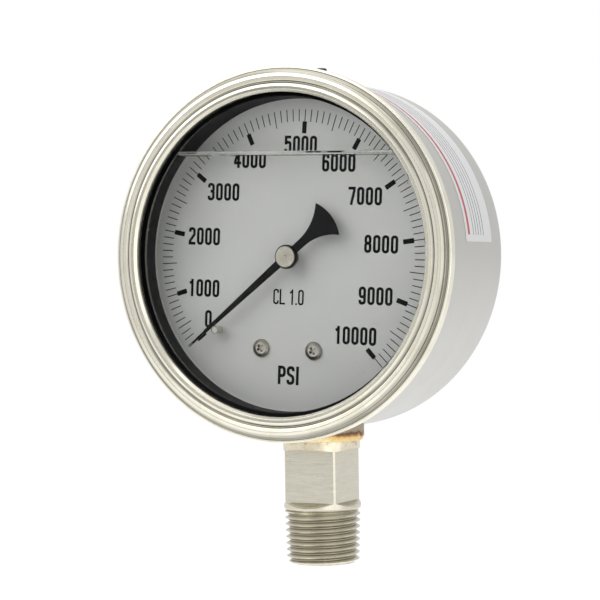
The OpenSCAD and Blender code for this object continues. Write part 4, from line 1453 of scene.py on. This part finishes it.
class GAUGE_OT_add_stem(bpy.types.Operator):
    """Adds the stem: its pipe thread, wrench flats, bar and the holder inside the can"""

    bl_idname = "gauge.add_stem"
    bl_label = "Stem"

    def thread(self, stem):
        """The pipe thread: one tooth spun up a helix, tapered, and trimmed at both ends."""
        depth = 1.3 * MM
        crest = 10.36 * MM
        taper = 0.03125
        bm = bmesh.new()
        tooth = [
            (crest - depth, 0.06),
            (crest - 0.1 * MM, 0.44),
            (crest, 0.5),
            (crest - 0.1 * MM, 0.56),
            (crest - depth, 0.94),
            (crest - depth, 1.06),
        ]
        line = [bm.verts.new((radius, 0, (share - 2) * stem.pitch)) for radius, share in tooth]
        edges = [bm.edges.new(pair) for pair in zip(line, line[1:])]
        turns = math.ceil(stem.thread / stem.pitch) + 3
        steps = 84
        bmesh.ops.spin(
            bm,
            geom=line + edges,
            cent=STEM,
            axis=Z_AXIS,
            dvec=Z_AXIS * stem.pitch / steps,
            angle=2 * math.pi * turns,
            steps=steps * turns,
            use_duplicate=False,
        )
        bmesh.ops.remove_doubles(bm, verts=bm.verts[:], dist=0.005 * MM)
        fade = stem.thread - 1.6 * MM
        for vert in bm.verts:
            reach = math.hypot(vert.co.x, vert.co.y)
            full = crest + taper * vert.co.z
            goal = reach + taper * vert.co.z
            if vert.co.z > fade:
                goal += (full - goal) * min(0.75, 0.5 * (vert.co.z - fade) / (stem.thread - fade))
            vert.co.x *= goal / reach
            vert.co.y *= goal / reach
        for height, side in ((0.0, -1), (stem.thread, 1)):
            everything = bm.verts[:] + bm.edges[:] + bm.faces[:]
            bmesh.ops.bisect_plane(
                bm,
                geom=everything,
                dist=0.0001 * MM,
                plane_co=Z_AXIS * height,
                plane_no=Z_AXIS * side,
                clear_outer=True,
            )
            rim = [e for e in bm.edges if e.is_boundary and abs(e.verts[0].co.z - height) < 0.01 * MM]
            bmesh.ops.holes_fill(bm, edges=rim, sides=0)
        sleeve = [
            (2.75 * MM, -MM),
            (8.9 * MM, -MM),
            (9.2 * MM, 0),
            (10.75 * MM, 1.3 * MM),
            (11.5 * MM, 13 * MM),
            (11.2 * MM, stem.thread - 0.6 * MM),
            (10.35 * MM, stem.thread + 0.2 * MM),
            (10.0 * MM, stem.thread + MM),
            (2.75 * MM, stem.thread + MM),
        ]
        bound = turned(bmesh.new(), [Vector(point) for point in sleeve], Z_AXIS, STEM, 96)
        return combined(bm, bound, "INTERSECT")

    def execute(self, context):
        stem = context.scene.gauge_stem
        bore = 2.25 * MM
        passage = 1.5 * MM
        top = 35.5 * MM
        foot = stem.thread
        corners = [
            (bore, foot, 0),
            (10.3 * MM, foot, 0.1 * MM),
            (stem.radius, foot + 0.7 * MM, 0.25 * MM),
            (stem.radius, 24 * MM, 0),
            (stem.radius, 31.9 * MM, 0),
            (stem.radius, top, 0),
            (passage, top, 0),
            (passage, foot + 5 * MM, 0),
            (bore, foot + 5 * MM, 0),
        ]
        bm = turned(bmesh.new(), rounded(corners, True, 4), Z_AXIS, STEM, 128)
        low = foot + 2.4 * MM
        high = low + 14.6 * MM
        half_way = 0.5 * (low + high)
        upper_slope = 2.0 * 0.62 * MM
        lower_slope = -2.0 * 1.3 * MM
        for quarter in range(4):
            face = stem.across / 2
            cutter = block(Vector((-14 * MM, face, low)), Vector((14 * MM, face + 6 * MM, high)))
            for vert in cutter.verts:
                if vert.co.y > face + MM:
                    vert.co.z += upper_slope if vert.co.z > half_way else lower_slope
            turn = Matrix.Rotation(quarter * math.pi / 2, 4, "Z")
            bmesh.ops.transform(cutter, matrix=turn, verts=cutter.verts[:])
            bm = combined(bm, cutter, "DIFFERENCE")
        inner = frame_copy("socket")
        everything = inner.verts[:] + inner.edges[:] + inner.faces[:]
        bmesh.ops.bisect_plane(
            inner,
            geom=everything,
            dist=0.0001 * MM,
            plane_co=Z_AXIS * top,
            plane_no=-Z_AXIS,
            clear_outer=True,
        )
        rim = [e for e in inner.edges if e.is_boundary]
        bmesh.ops.triangle_fill(inner, use_beauty=True, edges=rim)
        bm = added(bm, inner)
        bm = added(bm, self.thread(stem))
        tidy_normals = bm.faces[:]
        bmesh.ops.recalc_face_normals(bm, faces=tidy_normals)
        steel = milled_steel(
            "Machined stem steel",
            tuple(stem.steel),
            tuple(0.78 * part for part in stem.steel),
            (220.0, 220.0, 5200.0),
            0.3,
            0.012 * MM,
            tuple(stem.tint),
        )
        finish_piece("stem", bm, [steel], "case", ["socket"], 26)
        return {"FINISHED"}


class GAUGE_OT_add_weld(bpy.types.Operator):
    """Adds the heat-tinted weld between the stem and the can"""

    bl_idname = "gauge.add_weld"
    bl_label = "Weld"

    def execute(self, context):
        stem = context.scene.gauge_stem
        low, high = BEAD
        inner = stem.radius + 0.02 * MM
        outer = high.x
        corners = [
            (inner, low.z, 0),
            (inner + 0.7 * MM, low.z, 0.25 * MM),
            (outer - 0.15 * MM, low.z + 1.2 * MM, 0.6 * MM),
            (outer - 0.3 * MM, low.z + 2.4 * MM, 0.8 * MM),
            (outer - 0.1 * MM, high.z + 1.2 * MM, 0),
            (inner, high.z + 1.2 * MM, 0),
        ]
        bm = turned(bmesh.new(), rounded(corners, True, 5), Z_AXIS, STEM, 240)
        for vert in bm.verts:
            reach = math.hypot(vert.co.x, vert.co.y)
            if reach > inner + 0.3 * MM:
                around = math.atan2(vert.co.y, vert.co.x)
                ripple = 0.06 * MM * math.sin(46 * around + 2.5 * (vert.co.z - low.z) / MM)
                wave = 0.05 * MM * math.sin(7 * around + 1.3) - 0.11 * MM
                factor = (reach + ripple + wave) / reach
                vert.co.x *= factor
                vert.co.y *= factor
        reach = Y_AXIS * 40 * MM
        can = rod(CASE[1].x + 0.02 * MM, CASE_AXIS - reach, CASE_AXIS + reach, 256)
        bm = combined(bm, can, "DIFFERENCE")
        centre = Vector((0, 0, low.z))
        metal = weld_metal("Heat-tinted weld", tuple(stem.tint), centre)
        finish_piece("weld", bm, [metal], "case", ["weld_bead"], 50)
        return {"FINISHED"}


class GAUGE_OT_add_dial(bpy.types.Operator):
    """Adds the dial's paint and its printed scale, numerals and words"""

    bl_idname = "gauge.add_dial"
    bl_label = "Dial"

    def mark_angle(self, dial, step):
        """The direction of a mark, where the middle of the scale is drawn towards its high end."""
        from_middle = (step - 0.55 * dial.majors) / (0.37 * dial.majors)
        drawn = dial.uneven * math.cos(0.5 * math.pi * min(1.0, abs(from_middle))) ** 2
        return dial.start - dial.sweep * step / dial.majors - drawn

    def execute(self, context):
        dial = context.scene.gauge_dial
        low, high = DIAL
        # The dial's paint carries painted shade that darkens it towards the bottom.
        white = paint(
            "Dial paint",
            tuple(dial.white),
            0.45,
            (0.45, 0.45, 0.45),
            0.03,
            0.25,
            ARBOR_AXIS.z - 46 * MM,
            ARBOR_AXIS.z - 6 * MM,
        )
        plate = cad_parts["dial"]
        plate.data.materials.clear()
        plate.data.materials.append(white)

        depth = 0.03 * MM
        place = dial_place(dial.turn, low.y)
        bm = bmesh.new()
        for index in range(2, 10 * dial.majors + 1):
            angle = self.mark_angle(dial, index / 10)
            inner = 36.6 * MM if index % 5 == 0 and index % 10 else 37.9 * MM
            add_mark(bm, place, angle, inner, 41.3 * MM, 0.25 * MM, 2 * depth, 0)
        zero = dial.start - math.radians(4.8)
        add_mark(bm, place, zero, 37.9 * MM, 41.3 * MM, 0.25 * MM, 2 * depth, 0)
        for index in range(dial.majors + 1):
            angle = self.mark_angle(dial, index) if index else zero
            add_mark(bm, place, angle, 34.6 * MM, 37.9 * MM, 1.35 * MM, 2 * depth, 0.1 * MM)
        words = [
            ("0", (-25.6, -18.4)),
            ("1000", (-27.4, -9.7)),
            ("2000", (-27.7, 5.0)),
            ("3000", (-21.9, 17.7)),
            ("4000", (-13.7, 27.0)),
            ("5000", (0.4, 31.4)),
            ("6000", (14.1, 26.3)),
            ("7000", (22.4, 17.3)),
            ("8000", (27.7, 4.3)),
            ("9000", (26.5, -9.9)),
            ("10000", (20.7, -21.0)),
        ]
        flat = bmesh.new()
        for text, (across, up) in words:
            centre = (across * MM, up * MM)
            draw_words(flat, text, centre, dial.digit_height, 2.2 * MM, 2.66 * MM, 0.8 * MM)
        draw_words(flat, "PSI", (0.6 * MM, -33.0 * MM), 5.2 * MM, 2.45 * MM, 2.75 * MM, 0.85 * MM)
        draw_words(flat, "CL 1.0", (-0.2 * MM, -11.2 * MM), 4.3 * MM, 1.75 * MM, 2.0 * MM, 0.5 * MM)
        thickened(flat, depth)
        bmesh.ops.transform(flat, matrix=place, verts=flat.verts[:])
        bm = added(bm, flat)
        ink = paint("Dial ink", tuple(dial.ink), 0.5, (0.08, 0.08, 0.08), 0.05, gloss=0.08)
        finish_piece("dial_print", bm, [ink], "case", (), 30)
        return {"FINISHED"}


class GAUGE_OT_add_dial_hardware(bpy.types.Operator):
    """Adds the two cross-recessed dial screws and the pointer's stop pin"""

    bl_idname = "gauge.add_dial_hardware"
    bl_label = "Dial screws and stop pin"

    def execute(self, context):
        dial = context.scene.gauge_dial
        low, high = HEADS
        face = DIAL[0].y
        head = 2.55 * MM
        both = bmesh.new()
        spots = (Vector((low.x + head, 0, 0)), Vector((high.x - head, 0, 0)))
        drop = -25.8 * MM
        for side, spot in zip((-1, 1), spots):
            flat = Vector((side * 8.2 * MM, 0, drop))
            axis = dial_place(dial.turn, 0) @ flat
            corners = [
                (0, low.y, 0),
                (1.5 * MM, low.y + 0.03 * MM, 1.2 * MM),
                (head, low.y + 0.62 * MM, 0.35 * MM),
                (head, face, 0.1 * MM),
                (1.25 * MM, face, 0),
                (1.25 * MM, high.y, 0.2 * MM),
                (0, high.y, 0),
            ]
            bm = turned(bmesh.new(), rounded(corners, False, 6), Y_AXIS, axis, 64, False)
            for turn in (35, 125):
                slot = block(Vector((-1.7, -2, -0.5)) * MM, Vector((1.7, 1.3, 0.5)) * MM)
                for vert in slot.verts:
                    if vert.co.y > 0:
                        vert.co.x *= 0.45
                        vert.co.z *= 0.6
                move = Matrix.Translation(axis + Y_AXIS * low.y)
                spin = Matrix.Rotation(math.radians(-turn) + dial.turn, 4, "Y")
                bmesh.ops.transform(slot, matrix=move @ spin, verts=slot.verts[:])
                bm = combined(bm, slot, "DIFFERENCE")
            both = added(both, bm)
        steel = turned_steel(
            "Screw steel",
            (0.60, 0.58, 0.52),
            (0.42, 0.40, 0.36),
            ARBOR_AXIS,
            ABOUT_Y,
            900.0,
            0.3,
            0.06,
            0.004 * MM,
            0.5,
        )
        finish_piece("dial_screw_pair", both, [steel], "case", ["dial_screws"], 30)

        low, high = PIN
        axis = Vector(((low.x + high.x) / 2, 0, (low.z + high.z) / 2))
        radius = (high.x - low.x) / 2
        corners = [
            (0, low.y, 0),
            (radius, low.y, 0.35 * MM),
            (radius, face, 0.1 * MM),
            (0.73 * MM, face, 0),
            (0.73 * MM, high.y, 0),
            (0, high.y, 0),
        ]
        bm = turned(bmesh.new(), rounded(corners, False, 5), Y_AXIS, axis, 48, False)
        bright = turned_steel(
            "Pin steel",
            (0.78, 0.76, 0.70),
            (0.60, 0.58, 0.52),
            axis,
            ABOUT_Y,
            3000.0,
            0.22,
            0.05,
            0.003 * MM,
        )
        finish_piece("stop_pin", bm, [bright], "case", ["zero_stop_pin"], 40)
        return {"FINISHED"}


class GAUGE_OT_add_pointer(bpy.types.Operator):
    """Adds the black pointer with bevelled edges, and the turned cap on its hub"""

    bl_idname = "gauge.add_pointer"
    bl_label = "Pointer and hub"

    def execute(self, context):
        pointer = context.scene.gauge_pointer
        bm = frame_copy("pointer")
        bmesh.ops.dissolve_limit(
            bm,
            angle_limit=math.radians(0.5),
            use_dissolve_boundaries=False,
            verts=bm.verts[:],
            edges=bm.edges[:],
        )
        sharp = [e for e in bm.edges if e.is_manifold and e.calc_face_angle(0) > math.radians(40)]
        bmesh.ops.bevel(
            bm,
            geom=sharp,
            offset=pointer.bevel,
            segments=2,
            affect="EDGES",
            profile=0.5,
            material=-1,
            clamp_overlap=True,
        )
        tidy(bm)
        black = paint("Pointer paint", tuple(pointer.black), 0.36, (0.5, 0.5, 0.5), 0.06, gloss=0.1)
        finish_piece("pointer_blade", bm, [black], "pointer", ["pointer"], 35)

        low, high = HUB
        front = low.y
        shelf = BLADE[0].y
        cap = pointer.cap
        corners = [
            (0, front + 0.42 * MM, 0),
            (0.62 * MM, front + 0.02 * MM, 0.08 * MM),
            (1.15 * MM, front + 0.02 * MM, 0.05 * MM),
            (1.25 * MM, front + 0.1 * MM, 0.04 * MM),
            (1.4 * MM, front, 0.05 * MM),
            (cap, front, 0.3 * MM),
            (cap, shelf, 0.05 * MM),
            (1.58 * MM, shelf, 0),
            (1.58 * MM, high.y, 0.1 * MM),
            (0.77 * MM, high.y, 0),
            (0.77 * MM, shelf - 0.02 * MM, 0),
            (0, shelf - 0.02 * MM, 0),
        ]
        bm = turned(bmesh.new(), rounded(corners, False, 5), Y_AXIS, ARBOR_AXIS, 96, False)
        steel = turned_steel(
            "Turned hub steel",
            (0.70, 0.67, 0.58),
            (0.52, 0.49, 0.42),
            ARBOR_AXIS,
            ABOUT_Y,
            5200.0,
            0.3,
            0.07,
            0.006 * MM,
            0.25,
        )
        finish_piece("hub_cap", bm, [steel], "pointer", ["pointer_hub"], 40)
        return {"FINISHED"}


class GAUGE_OT_finish_movement(bpy.types.Operator):
    """Gives the tube, the movement and the small parts inside the can their metals"""

    bl_idname = "gauge.finish_movement"
    bl_label = "Movement finishes"

    def execute(self, context):
        straight = (240.0, 4200.0, 1500.0)
        brass = milled_steel(
            "Movement brass", (0.72, 0.53, 0.24), (0.58, 0.41, 0.17), straight, 0.3, 0.006 * MM
        )
        tube = milled_steel(
            "Tube alloy", (0.62, 0.58, 0.48), (0.46, 0.42, 0.33), straight, 0.34, 0.006 * MM
        )
        plain = milled_steel(
            "Small steel", (0.60, 0.60, 0.58), (0.46, 0.46, 0.44), straight, 0.28, 0.005 * MM
        )
        bronze = milled_steel(
            "Bush bronze", (0.62, 0.38, 0.17), (0.46, 0.27, 0.12), straight, 0.34, 0.005 * MM
        )
        blue = milled_steel(
            "Spring steel", (0.20, 0.25, 0.36), (0.13, 0.16, 0.25), straight, 0.26, 0.003 * MM
        )
        finishes = {
            "port_restrictor": brass,
            "passage_plug": plain,
            "bourdon_tube": tube,
            "movement_rear_plate": brass,
            "movement_front_plate": brass,
            "movement_pillars": brass,
            "plate_screws": plain,
            "movement_screws": plain,
            "arbor_bushes": bronze,
            "hairspring_stud": brass,
            "hairspring": blue,
            "dial_posts": brass,
            "pinion_arbor": plain,
            "hairspring_collet": brass,
            "sector_gear": brass,
            "sector_arbor": plain,
            "tail_pin": plain,
            "link_bar": tube,
            "tube_end_cap": tube,
            "tip_rivet": plain,
        }
        for name, material in finishes.items():
            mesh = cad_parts[name].data
            mesh.materials.clear()
            mesh.materials.append(material)
        return {"FINISHED"}


class GAUGE_OT_add_stage(bpy.types.Operator):
    """Adds the pale floor, the soft light and the camera"""

    bl_idname = "gauge.add_stage"
    bl_label = "Stage"

    def execute(self, context):
        stage = context.scene.gauge_stage
        self.add_camera(context.scene, stage)
        self.add_floor(stage)
        self.add_world(context.scene)
        self.add_card()
        self.add_lamp("key_light", (-0.75, -0.95, 0.85), stage.key)
        self.add_lamp("fill_light", (0.95, -0.65, 0.30), 0.45 * stage.key)
        self.add_lamp("top_light", (0.10, 0.25, 1.10), 0.5 * stage.key)
        context.scene.view_settings.view_transform = "Standard"
        return {"FINISHED"}

    def add_camera(self, scene, stage):
        """The camera, aimed from the right of the gauge's front."""
        heading = Vector(
            (
                -math.sin(stage.azimuth) * math.cos(stage.elevation),
                math.cos(stage.azimuth) * math.cos(stage.elevation),
                -math.sin(stage.elevation),
            )
        )
        target = Vector((0, -12 * MM, 80 * MM))
        data = bpy.data.cameras.new("view")
        data.sensor_width = 36
        data.lens = stage.lens
        data.shift_x = 0.0005
        data.shift_y = -0.0307
        data.clip_start = 0.01
        camera = bpy.data.objects.new("view", data)
        turn = heading.to_track_quat("-Z", "Y").to_matrix().to_4x4()
        roll = Matrix.Rotation(stage.roll, 4, "Z")
        camera.matrix_world = Matrix.Translation(target - heading * stage.distance) @ turn @ roll
        scene.collection.objects.link(camera)
        scene.camera = camera

    def add_floor(self, stage):
        """A wide pale floor under the gauge."""
        bm = bmesh.new()
        bmesh.ops.create_grid(bm, x_segments=1, y_segments=1, size=12.0)
        bmesh.ops.translate(bm, verts=bm.verts[:], vec=Z_AXIS * stage.floor)
        mesh = bpy.data.meshes.new("floor")
        bm.to_mesh(mesh)
        bm.free()
        floor = bpy.data.objects.new("floor", mesh)
        bpy.context.scene.collection.objects.link(floor)
        material, tree, shader = new_material("Pale floor", Roughness=1.0, Specular_IOR_Level=0.0)
        shader.inputs["Base Color"].default_value = (0.8, 0.8, 0.8, 1.0)
        path = add_node(tree, "ShaderNodeLightPath")
        seen = seen_directly(tree, path)
        white = add_node(tree, "ShaderNodeEmission", {"Color": (1, 1, 1, 1), "Strength": 0.62})
        black = add_node(tree, "ShaderNodeEmission", {"Color": (0, 0, 0, 1), "Strength": 0.0})
        lift = add_node(tree, "ShaderNodeMixShader", {0: seen})
        tree.links.new(black.outputs[0], lift.inputs[1])
        tree.links.new(white.outputs[0], lift.inputs[2])
        both = add_node(tree, "ShaderNodeAddShader")
        tree.links.new(shader.outputs[0], both.inputs[0])
        tree.links.new(lift.outputs[0], both.inputs[1])
        tree.links.new(both.outputs[0], tree.nodes["Material Output"].inputs["Surface"])
        mesh.materials.append(material)

    def add_card(self):
        """A round dark card that shows only in reflections and through glass, and keeps the window clear."""
        bm = bmesh.new()
        place = Matrix.Translation(CARD_SPOT) @ Matrix.Rotation(math.radians(90), 4, "X")
        bmesh.ops.create_circle(bm, cap_ends=True, segments=64, radius=CARD_RADIUS, matrix=place)
        mesh = bpy.data.meshes.new("dark_card")
        bm.to_mesh(mesh)
        bm.free()
        card = bpy.data.objects.new("dark_card", mesh)
        bpy.context.scene.collection.objects.link(card)
        material, tree, shader = new_material("Dark card", Roughness=1.0)
        shader.inputs["Base Color"].default_value = (0.02, 0.02, 0.02, 1.0)
        mesh.materials.append(material)
        card.visible_camera = False
        card.visible_diffuse = False
        card.visible_shadow = False

    def add_world(self, scene):
        """White all round, and softer where it only lights the gauge."""
        world = bpy.data.worlds.new("Studio")
        scene.world = world
        world.use_nodes = True
        tree = world.node_tree
        tree.nodes.clear()
        path = add_node(tree, "ShaderNodeLightPath")
        seen = seen_directly(tree, path)
        again = math_node(tree, "GREATER_THAN", path.outputs["Diffuse Depth"], 0.5)
        inside = math_node(tree, "MULTIPLY", again, path.outputs["Is Transmission Ray"])
        strength = stretched(tree, seen, 0.0, 1.0, 0.5, 0.9)
        strength = math_node(tree, "MAXIMUM", strength, path.outputs["Is Camera Ray"])
        strength = math_node(tree, "MULTIPLY", strength, stretched(tree, inside, 0.0, 1.0, 1.0, 0.5))
        light = add_node(tree, "ShaderNodeBackground", {"Color": (1, 1, 1, 1), "Strength": strength})
        out = add_node(tree, "ShaderNodeOutputWorld")
        tree.links.new(light.outputs[0], out.inputs["Surface"])

    def add_lamp(self, name, place, power):
        """A square soft lamp that faces the gauge."""
        data = bpy.data.lights.new(name, "AREA")
        data.shape = "SQUARE"
        data.size = LAMP_SIDE
        data.energy = power
        lamp = bpy.data.objects.new(name, data)
        spot = Vector(place)
        aim = (CASE_AXIS - spot).to_track_quat("-Z", "Y").to_matrix().to_4x4()
        lamp.matrix_world = Matrix.Translation(spot) @ aim
        lamp.visible_transmission = False
        bpy.context.scene.collection.objects.link(lamp)


class GAUGE_PT_sidebar(bpy.types.Panel):
    """Lists the gauge's pieces and settings"""

    bl_idname = "GAUGE_PT_sidebar"
    bl_label = "Dial Pressure Gauge"
    bl_space_type = "VIEW_3D"
    bl_region_type = "UI"
    bl_category = "Gauge"

    def draw(self, context):
        layout = self.layout
        for name, group in SETTINGS.items():
            box = layout.box()
            settings = getattr(context.scene, name)
            for key in group.__annotations__:
                box.prop(settings, key)
        column = layout.column(align=True)
        for operator in STEPS:
            column.operator(operator.bl_idname)


SETTINGS = {
    "gauge_can": CanSettings,
    "gauge_fill": FillSettings,
    "gauge_stem": StemSettings,
    "gauge_dial": DialSettings,
    "gauge_pointer": PointerSettings,
    "gauge_stage": StageSettings,
}

STEPS = (
    GAUGE_OT_add_can,
    GAUGE_OT_add_bezel,
    GAUGE_OT_add_window,
    GAUGE_OT_add_plug,
    GAUGE_OT_add_label,
    GAUGE_OT_add_stem,
    GAUGE_OT_add_weld,
    GAUGE_OT_add_dial,
    GAUGE_OT_add_dial_hardware,
    GAUGE_OT_add_pointer,
    GAUGE_OT_finish_movement,
    GAUGE_OT_add_stage,
)


def register():
    """Registers the settings, the operators and the panel."""
    for name, group in SETTINGS.items():
        bpy.utils.register_class(group)
        setattr(bpy.types.Scene, name, PointerProperty(type=group))
    for operator in STEPS:
        bpy.utils.register_class(operator)
    bpy.utils.register_class(GAUGE_PT_sidebar)


def unregister():
    """Takes the panel, the operators and the settings away again."""
    bpy.utils.unregister_class(GAUGE_PT_sidebar)
    for operator in reversed(STEPS):
        bpy.utils.unregister_class(operator)
    for name, group in reversed(SETTINGS.items()):
        delattr(bpy.types.Scene, name)
        bpy.utils.unregister_class(group)


def main():
    """Builds every piece and the stage."""
    register()
    for operator in STEPS:
        group, action = operator.bl_idname.split(".")
        result = getattr(getattr(bpy.ops, group), action)()
        if result != {"FINISHED"}:
            raise RuntimeError(f"{operator.bl_idname} did not finish")


if __name__ == "__main__":
    main()
